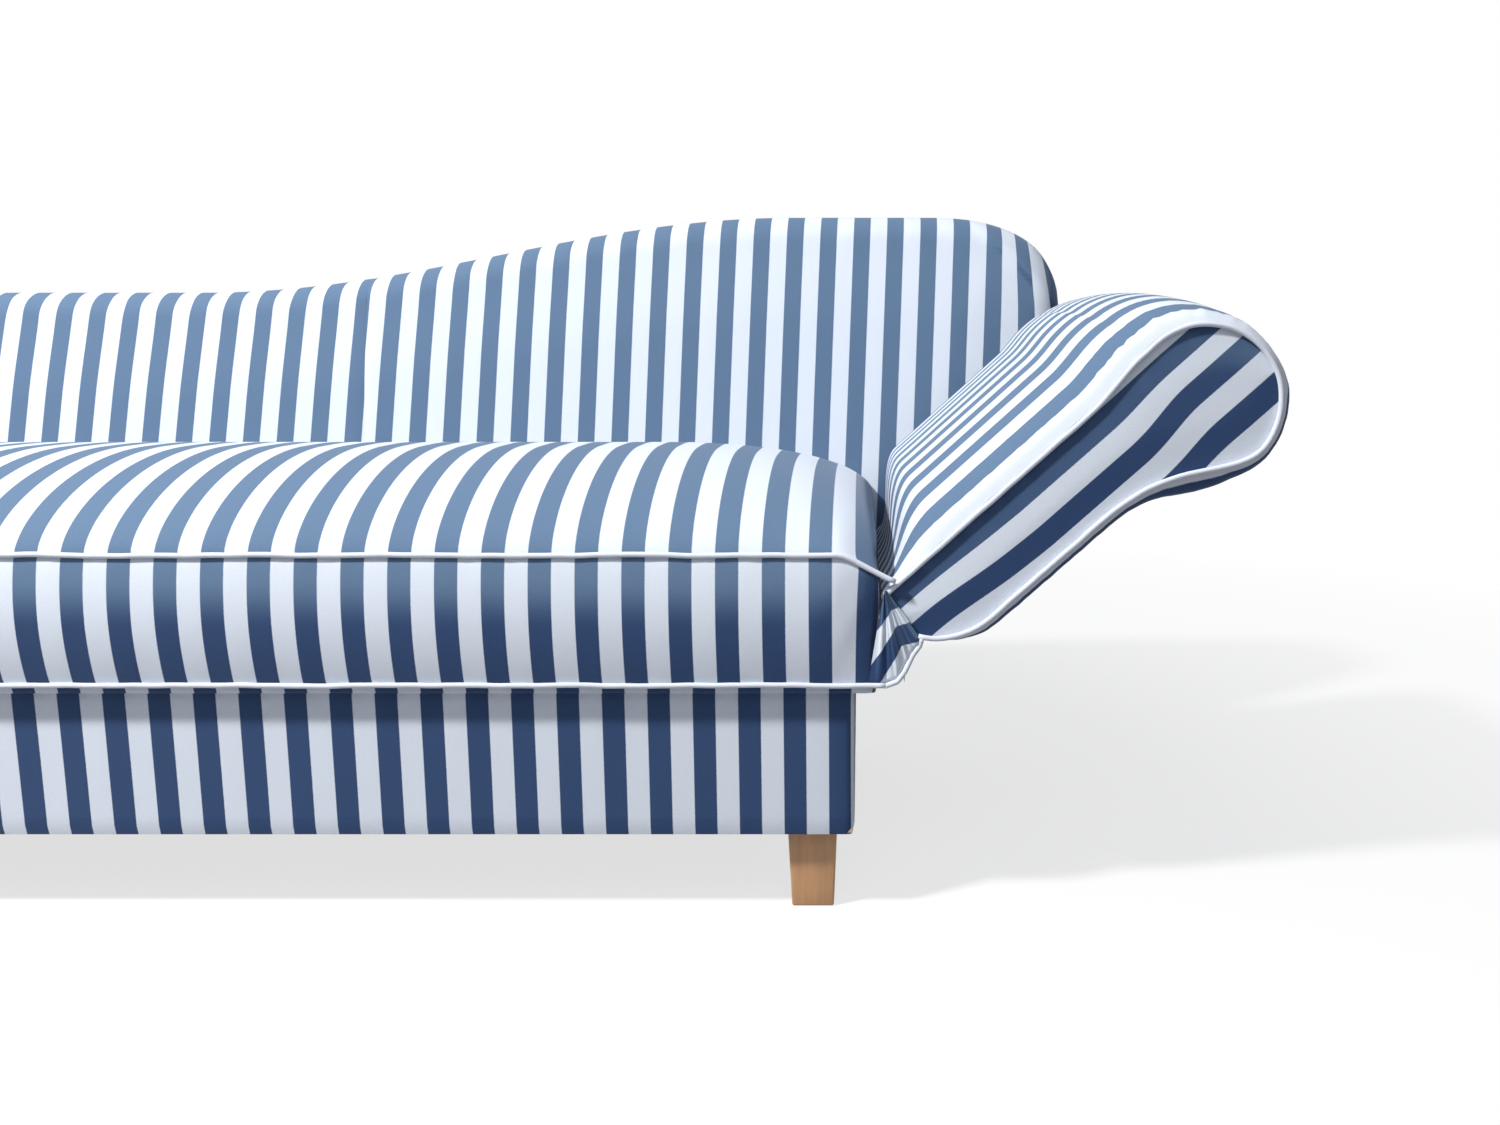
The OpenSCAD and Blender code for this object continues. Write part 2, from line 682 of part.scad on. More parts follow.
// Swell at each point: none at the crease, full on the face, less round the roll, little below
function swell_at(p, out) = let(rise = smooth((p[0] - 86) / 104),
        face = out[1] > 0 ? 1 - smooth((p[0] - roll_c[0] + 51) / 130) : 0)
    arm_crown * rise * (0.12 + 0.45 * pow((1 + out[1]) / 2, 2.5) + 0.43 * face);

// Share of the swell across the arm: it climbs slowly from the front and turns down at the back
crown_front = 380;
crown_rear = 60;
function swell_side(e, reach) = 1 - pow(1 - min(1, max(0, e) / reach), 2);
function swell_over(v) = sqrt(swell_side(v * arm_depth, crown_front)
    * swell_side((1 - v) * arm_depth, crown_rear));

function arm_ring(y, v, inset) = [for (i = [0:len(arm_base) - 1])
    let(q = arm_base[i] + arm_out[i] * (swell_at(arm_base[i], arm_out[i]) * swell_over(v) - inset))
    [q[0], y, q[1]]];

module in_arm() {
    translate([pivot_x, arm_y0, pivot_z]) rotate([0, -arm_rest, 0]) children();
}

// A board in the arm's plane from one depth to another
module arm_board(y0, y1) {
    in_arm() translate([0, y1, 0]) rotate([90, 0, 0]) linear_extrude(y1 - y0) children();
}

module arm_outline(d) {
    polygon(concat(arm_path(d), arc([0, 0], pivot_n - d, 185, crease_a + 8, 5)));
}

rim = skin + gap;
arm_vs = [for (k = [0:8]) (1 - cos(180 * k / 8)) / 2];

module arm_strip(y0, y1, outer, inner, inner_swell) {
    in_arm() loft([for (v = arm_vs) let(y = y0 + (y1 - y0) * v)
        concat(reversed(arm_ring(y, v, outer)), arm_ring(y, inner_swell ? v : 0, inner))], true);
}

module arm_foam() {
    color(wadding) arm_strip(rim, arm_depth - rim, rim, rim + arm_pad, false);
}
module arm_band_cover() {
    color(pale) arm_strip(rim, arm_depth - rim, 0, skin, true);
}
module arm_front_panel() { color(blue) arm_board(0, skin) arm_outline(0); }
module arm_rear_panel() { color(blue) arm_board(arm_depth - skin, arm_depth) arm_outline(0); }

module arm_piping(y) {
    path = arm_path(piping_r);
    color(pale) in_arm() cord([for (p = path) [p[0], y, p[1]]], piping_r, [0, 1, 0]);
}
module arm_front_piping() { arm_piping(-piping_r - 0.2); }
module arm_rear_piping() { arm_piping(arm_depth + piping_r + 0.2); }

ply = 18;
frame_d = rim + arm_pad + 0.3;
profile_s = 22;

module arm_profile(y0) {
    color(timber) arm_board(y0, y0 + ply) difference() {
        arm_outline(frame_d);
        translate([-100, -200]) square([100 + profile_s, 300]);
    }
}
module arm_front_profile() { arm_profile(rim); }
module arm_rear_profile() { arm_profile(arm_depth - rim - ply); }

bay_y0 = rim + ply + 0.1;
bay_y1 = arm_depth - bay_y0;
arm_board_t = 12;

board_s = 130;
board_n = pivot_n - frame_d - arm_board_t;
tube_r = roll_r - frame_d - arm_board_t - 0.4;
tube_s = roll_c[0] - sqrt(max(0, tube_r * tube_r - pow(board_n - roll_c[1], 2))) - 1;

module arm_inner_board() {
    color(timber) arm_board(bay_y0 + 10, bay_y1 - 10)
        translate([board_s, board_n]) square([tube_s - board_s, arm_board_t]);
}
module arm_lower_board() {
    color(timber) arm_board(bay_y0 + 10, bay_y1 - 10)
        translate([board_s, under_n + frame_d]) square([fillet_c[0] - board_s - 2, arm_board_t]);
}
module arm_roll_tube() {
    color([0.7, 0.58, 0.42]) arm_board(bay_y0, bay_y1) translate(roll_c) difference() {
        circle(r = tube_r);
        circle(r = tube_r - 4);
    }
}

// Tilt fitting, one at each side of the arm's bay, the rear one mirrored

leaf_y = bay_y0;
bracket_y = leaf_y + plate_t + plate_fit;
boss_r = pivot_n - frame_d - 0.4;
top_angle = notch_step * notch_count;
nose_a = -90;
notch_r = 1.3;
nose_r = 1;
pawl_swing = 12;
pawl_pivot = [-17, -32];
leaf_screw_s = [55, 85, 115];
stop_a = -24;
stop_rho = 21;
stop_r = 3;
stop_c = stop_rho * [cos(stop_a), sin(stop_a)];

module both_fittings() {
    children();
    translate([0, arm_y0 * 2 + arm_depth, 0]) mirror([0, 1, 0]) children();
}

// A plate of the fitting in the arm's own plane, between two depths

// A plate of the fitting that stays with the seat, drawn in x and z from the pivot
module fixed_plate(y0, y1) {
    translate([pivot_x, arm_y0 + y1, pivot_z]) rotate([90, 0, 0]) linear_extrude(y1 - y0) children();
}

module sector_shape() {
    a0 = nose_a - arm_rest + 8;
    a1 = nose_a - arm_rest - top_angle - 8;
    polygon(concat([[0, 0]], arc([0, 0], sector_r, a0, a1, 12)));
}

module toothed_leaf() {
    // The blade's lower edge lies on the stop pin at rest
    edge_a = stop_a - arm_rest + asin(stop_r / stop_rho) + 1;
    edge = 30 * [cos(edge_a), sin(edge_a)];
    arm_board(leaf_y, leaf_y + plate_t) difference() {
        union() {
            circle(r = boss_r);
            sector_shape();
            polygon([[0, boss_r - 1], [leaf_screw_s[2] + 12, 6], [leaf_screw_s[2] + 12, -16], edge,
                [0, 0]]);
        }
        circle(r = pin_r + pin_fit);
        for (k = [0:notch_count]) let(a = nose_a - arm_rest - notch_step * k)
            translate(sector_r * [cos(a), sin(a)]) circle(r = notch_r, $fn = 24);
        for (s = leaf_screw_s) translate([s, -5]) circle(r = 2.2, $fn = 24);
    }
}
module toothed_leaves() { color(steel) both_fittings() toothed_leaf(); }

module leaf_screws() {
    color(steel) both_fittings() in_arm() for (s = leaf_screw_s)
        translate([s, leaf_y + plate_t + 2.2, -5]) rotate([90, 0, 0]) {
            cylinder(r = 3.6, h = 2, $fn = 24);
            cylinder(r = 2, h = 2.2 + plate_t - 0.05, $fn = 24);
        }
}

flange_x0 = seat_x1 + 0.1 - pivot_x;
stem_x0 = -16;
stem_x1 = -5;
bracket_low = rail_z + 4 - pivot_z;
shelf_z = -pivot_n - 8;
bracket_screw_ys = [14, 30];
bracket_screw_z = bracket_low + 18;

module hinge_bracket() {
    fixed_plate(bracket_y, bracket_y + plate_t) difference() {
        union() {
            circle(r = boss_r);
            translate(stop_c) circle(r = stop_r + 2, $fn = 24);
            polygon([[0, boss_r - 4], stop_c + [0, 4], stop_c - [0, 4], [0, -boss_r + 2]]);
            polygon([[stem_x0, bracket_low], [stem_x1, bracket_low], [stem_x1, shelf_z + 2],
                [2, -boss_r + 2], [-10, -4], [stem_x0, -20]]);
            polygon([[flange_x0, bracket_low], [stem_x1, bracket_low], [stem_x1, shelf_z + 2],
                [flange_x0, shelf_z - 4]]);
            translate(pawl_pivot) circle(r = 4.6, $fn = 24);
        }
        circle(r = pin_r + 0.02);
        translate(pawl_pivot) circle(r = 2.02, $fn = 24);
    }
    fixed_plate(leaf_y, bracket_y) translate(stop_rho * [cos(stop_a), sin(stop_a)])
        circle(r = stop_r - 0.3, $fn = 24);
    difference() {
        fixed_plate(bracket_y + plate_t, bracket_y + 46)
            polygon([[flange_x0, bracket_low], [flange_x0 + plate_t, bracket_low],
                [flange_x0 + plate_t, shelf_z - 4], [flange_x0, shelf_z - 4]]);
        for (y = bracket_screw_ys) bracket_screw_at(y, 2.2, 12);
    }
}
module hinge_brackets() { color(steel) both_fittings() hinge_bracket(); }

module bracket_screw_at(y, r, l) {
    translate([pivot_x + flange_x0 - l / 2, arm_y0 + bracket_y + plate_t + y, pivot_z + bracket_screw_z])
        rotate([0, 90, 0]) cylinder(r = r, h = l, $fn = 24);
}

module bracket_screws() {
    color(steel) both_fittings() for (y = bracket_screw_ys) {
        translate([pivot_x + flange_x0, arm_y0 + bracket_y + plate_t + y, pivot_z + bracket_screw_z])
            rotate([0, 90, 0]) cylinder(r = 2, h = plate_t + 0.1, $fn = 24);
        translate([pivot_x + flange_x0 + plate_t, arm_y0 + bracket_y + plate_t + y,
            pivot_z + bracket_screw_z]) rotate([0, 90, 0]) cylinder(r = 3.8, h = 2, $fn = 24);
    }
}

module hinge_pins() {
    color(steel) both_fittings() {
        fixed_plate(leaf_y - 0.05, bracket_y + plate_t + 0.2) circle(r = pin_r);
        fixed_plate(bracket_y + plate_t + 0.2, bracket_y + plate_t + 3) circle(r = pin_r + 2.5);
    }
}

// The pawl as it would lie in a notch, then swung clear by its own travel
module pawl() {
    nose = sector_r * [cos(nose_a), sin(nose_a)];
    neck = nose - [0, 2.4];
    lever_a = atan2(nose[1] - pawl_pivot[1], nose[0] - pawl_pivot[0]);
    translate([pivot_x + pawl_pivot[0], 0, pivot_z + pawl_pivot[1]]) rotate([0, pawl_swing, 0])
        translate([-pivot_x - pawl_pivot[0], 0, -pivot_z - pawl_pivot[1]])
        fixed_plate(leaf_y, leaf_y + plate_t) difference() {
            polygon(concat(arc(pawl_pivot, 4, lever_a + 80, lever_a + 280, 12),
                [neck + [nose_r, -2.6], nose + [nose_r, -0.4]], arc(nose - [0, 0.4], nose_r, 20, 160, 6),
                [nose + [-nose_r, -0.4], neck + [-2.2, 0.4]]));
            translate(pawl_pivot) circle(r = 2.05, $fn = 24);
        }
}
module front_pawl() { color(steel) pawl(); }
module rear_pawl() {
    color(steel) translate([0, arm_y0 * 2 + arm_depth, 0]) mirror([0, 1, 0]) pawl();
}

module pawl_rivets() {
    color(steel) both_fittings() {
        fixed_plate(leaf_y - 0.1, bracket_y + plate_t + 0.1) translate(pawl_pivot)
            circle(r = 2, $fn = 24);
        fixed_plate(bracket_y + plate_t + 0.1, bracket_y + plate_t + 1.4) translate(pawl_pivot)
            circle(r = 3.4, $fn = 24);
    }
}

// Cloth over the zone under the arm's pivot, from the seat's corner to the back
module hinge_cover() {
    z1 = pivot_z - pivot_n - 16;
    color(pale) translate([0, 0, seat_z]) linear_extrude(z1 - seat_z) difference() {
        polygon(concat([[seat_x1 + 0.4, arm_y1], [seat_x1 + 0.4, front_y]],
            arc([hinge_x1 - 10, front_y + 10], 10, 270, 360, 4), [[hinge_x1, arm_y1]]));
        polygon(concat([[seat_x1 + 0.2, arm_y1 + 1], [seat_x1 + 0.2, front_y + skin]],
            arc([hinge_x1 - 10, front_y + 10], 10 - skin, 270, 360, 4),
            [[hinge_x1 - skin, arm_y1 + 1]]));
    }
}

slot_w = 2 * plate_t + 12;

module hinge_gusset() {
    color(pale) difference() {
        fixed_plate(0.5, arm_depth - 0.5) intersection() {
            difference() {
                circle(r = pivot_n + 3.4);
                circle(r = pivot_n + 1.4);
            }
            polygon([[0, 0], [-60, -6], [-60, -58], [-46, -58]]);
        }
        both_fittings() translate([pivot_x - 50, arm_y0 + leaf_y - 3, pivot_z - 60])
            cube([60, slot_w, 58]);
        translate([seat_x1 - 60, arm_y0 - 1, pivot_z - 60]) cube([60.4, arm_depth + 2, 70]);
    }
}

leg(leg_xs[1], leg_ys[0]);  // leg_front_right
leg(leg_xs[0], leg_ys[0]);  // leg_front_left
leg(leg_xs[1], leg_ys[1]);  // leg_rear_right
leg(leg_xs[0], leg_ys[1]);  // leg_rear_left
leg_plates();
hanger_bolts();
base_front_rail();
base_rear_rail();
base_left_rail();
base_right_rail();
base_cross_rails();
base_back_beam();
base_corner_blocks();
base_cover();
dust_cover();
seat_front_rail();
seat_rear_rail();
seat_left_rail();
seat_right_rail();
seat_springs();
spring_clips();
seat_felt();
seat_foam();
seat_top_panel();
seat_boxing();
seat_upper_piping();
seat_lower_piping();
back_lower_rail();
back_posts();
back_top_rail();
back_wing_rail();
back_webbing();
back_foam();
back_cover_left();
back_cover_right();
back_rear_pad();
back_rear_cover();
back_bolts();
arm_front_profile();
arm_rear_profile();
arm_inner_board();
arm_lower_board();
arm_roll_tube();
arm_foam();
arm_band_cover();
arm_front_panel();
arm_rear_panel();
arm_front_piping();
arm_rear_piping();
toothed_leaves();
leaf_screws();
hinge_brackets();
hinge_pins();
bracket_screws();
front_pawl();
rear_pawl();
pawl_rivets();
hinge_cover();
hinge_gusset();
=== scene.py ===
import json
import math

import bmesh
import bpy
import numpy as np
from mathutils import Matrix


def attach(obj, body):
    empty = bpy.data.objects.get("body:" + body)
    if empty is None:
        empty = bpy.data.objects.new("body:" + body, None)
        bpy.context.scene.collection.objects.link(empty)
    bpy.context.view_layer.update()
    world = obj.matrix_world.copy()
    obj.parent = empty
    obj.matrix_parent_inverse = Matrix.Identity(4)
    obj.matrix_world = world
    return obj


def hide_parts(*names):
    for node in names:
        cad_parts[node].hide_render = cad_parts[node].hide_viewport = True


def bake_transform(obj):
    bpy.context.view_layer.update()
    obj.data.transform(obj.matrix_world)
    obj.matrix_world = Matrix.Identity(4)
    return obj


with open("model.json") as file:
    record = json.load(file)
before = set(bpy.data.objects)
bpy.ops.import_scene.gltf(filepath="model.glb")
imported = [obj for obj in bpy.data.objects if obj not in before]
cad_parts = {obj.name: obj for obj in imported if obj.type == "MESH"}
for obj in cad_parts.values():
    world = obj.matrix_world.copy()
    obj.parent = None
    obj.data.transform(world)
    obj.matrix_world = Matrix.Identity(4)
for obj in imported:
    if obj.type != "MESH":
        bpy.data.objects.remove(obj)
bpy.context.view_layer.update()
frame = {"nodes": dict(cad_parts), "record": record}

bl_info = {
    "name": "Recamier",
    "version": (1, 0, 0),
    "blender": (4, 5, 0),
    "location": "View3D > Sidebar > Recamier",
    "description": "Dresses a striped recamier with a tilting arm in cloth, piping and wood",
    "category": "Object",
}

# Sizes repeated from the part's source, in millimetres

SEAT_L, SEAT_DEPTH, BOXING_H, BULGE, CORNER_R = 1494, 532, 143, 11, 36
SEAT_Z, CROWN_H, CROWN_REACH, PIPE_R = 272, 97, 275, 3
BACK_TOP, BACK_LOW, LEAN, BACK_T, BACK_ROLL = 833, 720, 10, 160, 45
WING_REACH, WING_L, FOOT_R = 284, 204, 80
ARM_L, ARM_REST, ARM_DEPTH, ARM_T, ROLL_R, PIVOT_N = 381, 42, 518, 101, 84, 26
ROLL_RISE, ROLL_PROUD, ARM_CROWN, ARM_GAP = 10, 9.3, 74, 8
PIVOT_OUT, PIVOT_DROP, SETBACK, BASE_DEPTH, SEAM_RUN = 28, 57, 15, 655, 1044
WING_HALF, WAVE_LEAD, WAVE_END = 133, 474, 120
LEG_H, LEG_TOP, LEG_FOOT, LEG_INSET = 95, 56, 48, 20

LEAN_SIN = math.sin(math.radians(LEAN))
LEAN_COS = math.cos(math.radians(LEAN))
LEAN_TAN = math.tan(math.radians(LEAN))
REST_SIN = math.sin(math.radians(ARM_REST))
REST_COS = math.cos(math.radians(ARM_REST))

rise_mm = (BACK_TOP - SEAT_Z) / LEAN_COS
depth_mm = BULGE + SEAT_DEPTH + BACK_T * LEAN_COS + (rise_mm - BACK_ROLL) * LEAN_SIN
reach_mm = PIVOT_OUT + ARM_L * REST_COS + (ROLL_R - PIVOT_N - ROLL_RISE) * REST_SIN + ROLL_R + ROLL_PROUD
SEAT_X1 = (SEAT_L + BULGE - reach_mm) / 2
SEAT_X0 = SEAT_X1 - SEAT_L
FRONT_Y = -depth_mm / 2 + BULGE
SEAT_Y1 = FRONT_Y + SEAT_DEPTH - 4
EDGE_Z = SEAT_Z + BOXING_H
REST_Y = SEAT_Y1 + 4
PIVOT_X = SEAT_X1 + PIVOT_OUT
PIVOT_Z = EDGE_Z - PIVOT_DROP
ARM_Y0 = FRONT_Y + ARM_GAP
ARM_Y1 = ARM_Y0 + ARM_DEPTH
HINGE_X1 = PIVOT_X + 1
BASE_X0 = SEAT_X0 + SETBACK + BULGE
BASE_X1 = SEAT_X1 - SETBACK - BULGE
BASE_Y0 = FRONT_Y + SETBACK
BASE_Y1 = BASE_Y0 + BASE_DEPTH
BACK_X0 = SEAT_X0 + 6
BACK_X1 = SEAT_X1 + WING_REACH
SEAM_X = BACK_X1 - SEAM_RUN
WING_X0 = SEAT_X1 + 4
WING_MID = BACK_TOP - WING_HALF
WAVE_X0 = SEAT_X0 + WAVE_LEAD
WAVE_X1 = SEAT_X1 - WAVE_END

# The photograph's camera: its place across, before the seat's front and above the floor, in millimetres

PHOTO_X = SEAT_X1 - 20
CAMERA_BEFORE, CAMERA_Z = 1363.4, 626.5
CAMERA_TILT, CAMERA_LENS, CAMERA_SHIFT = 80.842, 30.96, -0.0733

# Where the stripe starts on each cloth, counted from the camera's middle, in millimetres

SEAT_PHASE, BASE_PHASE, BACK_PHASE, SEAM_STEP = 5, 34.4, -82.8, -4.5

# The seat's corners: the arm pulls the front one down and out, the foot end's rear one tucks in by the back

CORNER_DROP, CORNER_PULL = 30, 13
REAR_RUN, REAR_TUCK = 27, 8

# The hem below the seat and the lift of the back's top, in millimetres

HEM_LOW, HEM_HIGH, TOP_LIFT = 261.5, 271.5, 7


# Settings a user would change

class RecamierSizes(bpy.types.PropertyGroup):
    """Sizes of the cloth's finish."""
    stripe_pitch: bpy.props.FloatProperty(
        name="Stripe pitch", description="Width of one dark and one light stripe",
        default=0.05, min=0.02, max=0.12, unit="LENGTH", subtype="DISTANCE")
    piping_radius: bpy.props.FloatProperty(
        name="Piping radius", description="Radius of the white piping",
        default=0.003, min=0.002, max=0.006, unit="LENGTH", subtype="DISTANCE")
    pucker: bpy.props.FloatProperty(
        name="Pucker depth", description="Depth of the small gathers beside the seams",
        default=0.0012, min=0.0, max=0.004, unit="LENGTH", subtype="DISTANCE")
    panel_crown: bpy.props.FloatProperty(
        name="Panel crown", description="How far the arm's front panel stands out in its middle",
        default=0.003, min=0.0, max=0.01, unit="LENGTH", subtype="DISTANCE")


class RecamierColours(bpy.types.PropertyGroup):
    """Colours of the cloth, piping and wood; the dark stripe has a painted-shade and a painted-light copy."""
    # Painted shade: the dark stripe's colour where the surface faces sideways or down, a shaded copy of the
    # blue that stands in for the shade there
    blue: bpy.props.FloatVectorProperty(
        name="Blue stripe", description="Colour of the dark stripe", subtype="COLOR", size=4,
        min=0, max=1, default=(0.011, 0.046, 0.142, 1))
    # Painted light: the dark stripe's colour where the surface faces up, a lit copy of the blue that stands
    # in for the light falling there
    painted_lit_blue: bpy.props.FloatVectorProperty(
        name="Blue bloom", description="Colour of the dark stripe where its nap faces up",
        subtype="COLOR", size=4, min=0, max=1, default=(0.096, 0.170, 0.284, 1))
    white: bpy.props.FloatVectorProperty(
        name="White stripe", description="Colour of the light stripe", subtype="COLOR", size=4,
        min=0, max=1, default=(0.72, 0.78, 0.87, 1))
    piping: bpy.props.FloatVectorProperty(
        name="Piping", description="Colour of the piping", subtype="COLOR", size=4,
        min=0, max=1, default=(0.74, 0.78, 0.86, 1))
    beech: bpy.props.FloatVectorProperty(
        name="Beech", description="Colour of the legs", subtype="COLOR", size=4,
        min=0, max=1, default=(0.56, 0.300, 0.142, 1))


def sizes():
    return bpy.context.scene.recamier_sizes


def colours():
    return bpy.context.scene.recamier_colours


# Shader groups

def new_group(name, inputs, outputs):
    group = bpy.data.node_groups.new(name, "ShaderNodeTree")
    for label, kind, value in inputs:
        item = group.interface.new_socket(label, in_out="INPUT", socket_type=kind)
        if value is not None:
            item.default_value = value
    for label, kind in outputs:
        group.interface.new_socket(label, in_out="OUTPUT", socket_type=kind)
    return group, group.nodes.new("NodeGroupInput"), group.nodes.new("NodeGroupOutput")


def maths(tree, operation, a, b=None, c=None, clamp=False):
    node = tree.nodes.new("ShaderNodeMath")
    node.operation = operation
    node.use_clamp = clamp
    for slot, value in enumerate((a, b, c)):
        if isinstance(value, (int, float)):
            node.inputs[slot].default_value = value
        elif value is not None:
            tree.links.new(value, node.inputs[slot])
    return node.outputs[0]


def mixed(tree, factor, a, b, blend="MIX"):
    node = tree.nodes.new("ShaderNodeMix")
    node.data_type = "RGBA"
    node.blend_type = blend
    for socket, value in ((node.inputs["Factor"], factor), (node.inputs["A"], a), (node.inputs["B"], b)):
        if isinstance(value, bpy.types.NodeSocket):
            tree.links.new(value, socket)
        else:
            socket.default_value = value
    return node.outputs["Result"]


def noise(tree, vector, scale, detail=3.0, roughness=0.55):
    node = tree.nodes.new("ShaderNodeTexNoise")
    tree.links.new(vector, node.inputs["Vector"])
    node.inputs["Scale"].default_value = scale
    node.inputs["Detail"].default_value = detail
    node.inputs["Roughness"].default_value = roughness
    return node.outputs["Fac"]


def stripe_group():
    """Block stripes across the cloth map: 1 on the dark stripe and 0 on the light one."""
    if "Block stripe" in bpy.data.node_groups:
        return bpy.data.node_groups["Block stripe"]
    group, given, result = new_group(
        "Block stripe", [("Cloth", "NodeSocketVector", None), ("Pitch", "NodeSocketFloat", 0.05)],
        [("Mask", "NodeSocketFloat")])
    parts = group.nodes.new("ShaderNodeSeparateXYZ")
    group.links.new(given.outputs["Cloth"], parts.inputs[0])
    wobble = noise(group, given.outputs["Cloth"], 900, 1)
    across = maths(group, "MULTIPLY_ADD", maths(group, "SUBTRACT", wobble, 0.5), 0.0009, parts.outputs["X"])
    turn = maths(group, "DIVIDE", across, given.outputs["Pitch"])
    share = maths(group, "FRACT", turn)
    tent = maths(group, "ABSOLUTE", maths(group, "SUBTRACT", share, 0.25))
    wrapped = maths(group, "MINIMUM", tent, maths(group, "SUBTRACT", 1.0, tent))
    mask = maths(group, "MULTIPLY_ADD", maths(group, "SUBTRACT", 0.25, wrapped), 60.0, 0.5, clamp=True)
    group.links.new(mask, result.inputs["Mask"])
    return group


def weave_group():
    """Plain weave: thread height, and the small light and dark flecks of the yarn."""
    if "Plain weave" in bpy.data.node_groups:
        return bpy.data.node_groups["Plain weave"]
    group, given, result = new_group(
        "Plain weave", [("Cloth", "NodeSocketVector", None), ("Thread", "NodeSocketFloat", 0.0009)],
        [("Height", "NodeSocketFloat"), ("Fleck", "NodeSocketFloat"), ("Soil", "NodeSocketFloat")])
    parts = group.nodes.new("ShaderNodeSeparateXYZ")
    group.links.new(given.outputs["Cloth"], parts.inputs[0])
    waves = []
    for axis in ("X", "Y"):
        threads = maths(group, "DIVIDE", parts.outputs[axis], given.outputs["Thread"])
        waves.append(maths(group, "SINE", maths(group, "MULTIPLY", threads, math.pi)))
    height = maths(group, "MULTIPLY", waves[0], waves[1])
    slub = noise(group, given.outputs["Cloth"], 420, 2)
    group.links.new(maths(group, "MULTIPLY_ADD", slub, 1.2, height), result.inputs["Height"])
    coarse = noise(group, given.outputs["Cloth"], 700, 3, 0.7)
    group.links.new(coarse, result.inputs["Fleck"])
    group.links.new(noise(group, given.outputs["Cloth"], 6, 3), result.inputs["Soil"])
    return group


def grain_group():
    """Straight beech grain with small pores, along Z."""
    if "Wood grain" in bpy.data.node_groups:
        return bpy.data.node_groups["Wood grain"]
    group, given, result = new_group(
        "Wood grain", [("Place", "NodeSocketVector", None), ("Stretch", "NodeSocketVector", (1, 1, 0.08))],
        [("Grain", "NodeSocketFloat"), ("Pores", "NodeSocketFloat")])
    scaled = group.nodes.new("ShaderNodeVectorMath")
    scaled.operation = "MULTIPLY"
    group.links.new(given.outputs["Place"], scaled.inputs[0])
    group.links.new(given.outputs["Stretch"], scaled.inputs[1])
    group.links.new(noise(group, scaled.outputs[0], 120, 4, 0.6), result.inputs["Grain"])
    group.links.new(noise(group, scaled.outputs[0], 900, 2, 0.7), result.inputs["Pores"])
    return group


def start_material(name):
    material = bpy.data.materials.new(name)
    material.use_nodes = True
    tree = material.node_tree
    return material, tree, tree.nodes["Principled BSDF"]


def place_group(tree, group, **values):
    node = tree.nodes.new("ShaderNodeGroup")
    node.node_tree = group
    for label, value in values.items():
        socket = node.inputs[label.replace("_", " ")]
        if isinstance(value, bpy.types.NodeSocket):
            tree.links.new(value, socket)
        else:
            socket.default_value = value
    return node


def add_bump(tree, shader, height, distance, strength):
    bump = tree.nodes.new("ShaderNodeBump")
    bump.inputs["Strength"].default_value = strength
    bump.inputs["Distance"].default_value = distance
    tree.links.new(height, bump.inputs["Height"])
    tree.links.new(bump.outputs["Normal"], shader.inputs["Normal"])


def striped_colour(tree, cloth, light, dark):
    """The block stripe's colour; the dark stripe is painted paler where the surface faces up, as painted
    light, and darker where it faces sideways or down, as painted shade.
    """
    # Painted light and shade: the height of the surface normal picks between the shaded and the lit copy of
    # the dark stripe
    face = tree.nodes.new("ShaderNodeNewGeometry")
    split = tree.nodes.new("ShaderNodeSeparateXYZ")
    tree.links.new(face.outputs["Normal"], split.inputs[0])
    surface = tree.nodes.new("ShaderNodeMapRange")
    surface.interpolation_type = "SMOOTHSTEP"
    surface.inputs["From Min"].default_value = -0.03
    surface.inputs["From Max"].default_value = 0.2
    tree.links.new(split.outputs["Z"], surface.inputs["Value"])
    painted_light_dark_stripe = mixed(tree, surface.outputs["Result"], tuple(dark), tuple(colours().painted_lit_blue))
    stripe = place_group(tree, stripe_group(), Cloth=cloth, Pitch=sizes().stripe_pitch)
    return mixed(tree, stripe.outputs["Mask"], tuple(light), painted_light_dark_stripe)


def cloth_material(name, light, dark=None, sheen=0.14):
    """Woven cotton, striped where a dark colour is given, with painted light and shade on the dark stripe:
    flecks, weave relief, faint soiling and sheen.
    """
    if name in bpy.data.materials:
        return bpy.data.materials[name]
    material, tree, shader = start_material(name)
    cloth = tree.nodes.new("ShaderNodeUVMap")
    cloth.uv_map = "cloth"
    weave = place_group(tree, weave_group(), Cloth=cloth.outputs[0])
    colour = tuple(light) if dark is None else striped_colour(tree, cloth.outputs[0], light, dark)
    uneven = maths(tree, "SUBTRACT", weave.outputs["Fleck"], 0.5)
    fleck = maths(tree, "MULTIPLY_ADD", uneven, 1.6, 0.5, clamp=True)
    pale = mixed(tree, 1.0, colour, (0.5, 0.5, 0.5, 1), "SCREEN")
    deep = mixed(tree, 1.0, colour, (0.78, 0.78, 0.80, 1), "MULTIPLY")
    grey = mixed(tree, 0.05, colour, pale)
    yarn = mixed(tree, fleck, mixed(tree, 0.8, colour, deep), grey)
    soil = maths(tree, "MULTIPLY", weave.outputs["Soil"], 0.12)
    shaded = mixed(tree, soil, yarn, deep)
    tree.links.new(shaded, shader.inputs["Base Color"])
    rough = maths(tree, "MULTIPLY_ADD", weave.outputs["Fleck"], 0.22, 0.70)
    tree.links.new(rough, shader.inputs["Roughness"])
    shader.inputs["Sheen Weight"].default_value = sheen
    shader.inputs["Sheen Roughness"].default_value = 0.45
    shader.inputs["Specular IOR Level"].default_value = 0.25
    add_bump(tree, shader, weave.outputs["Height"], 0.0002, 0.35)
    return material


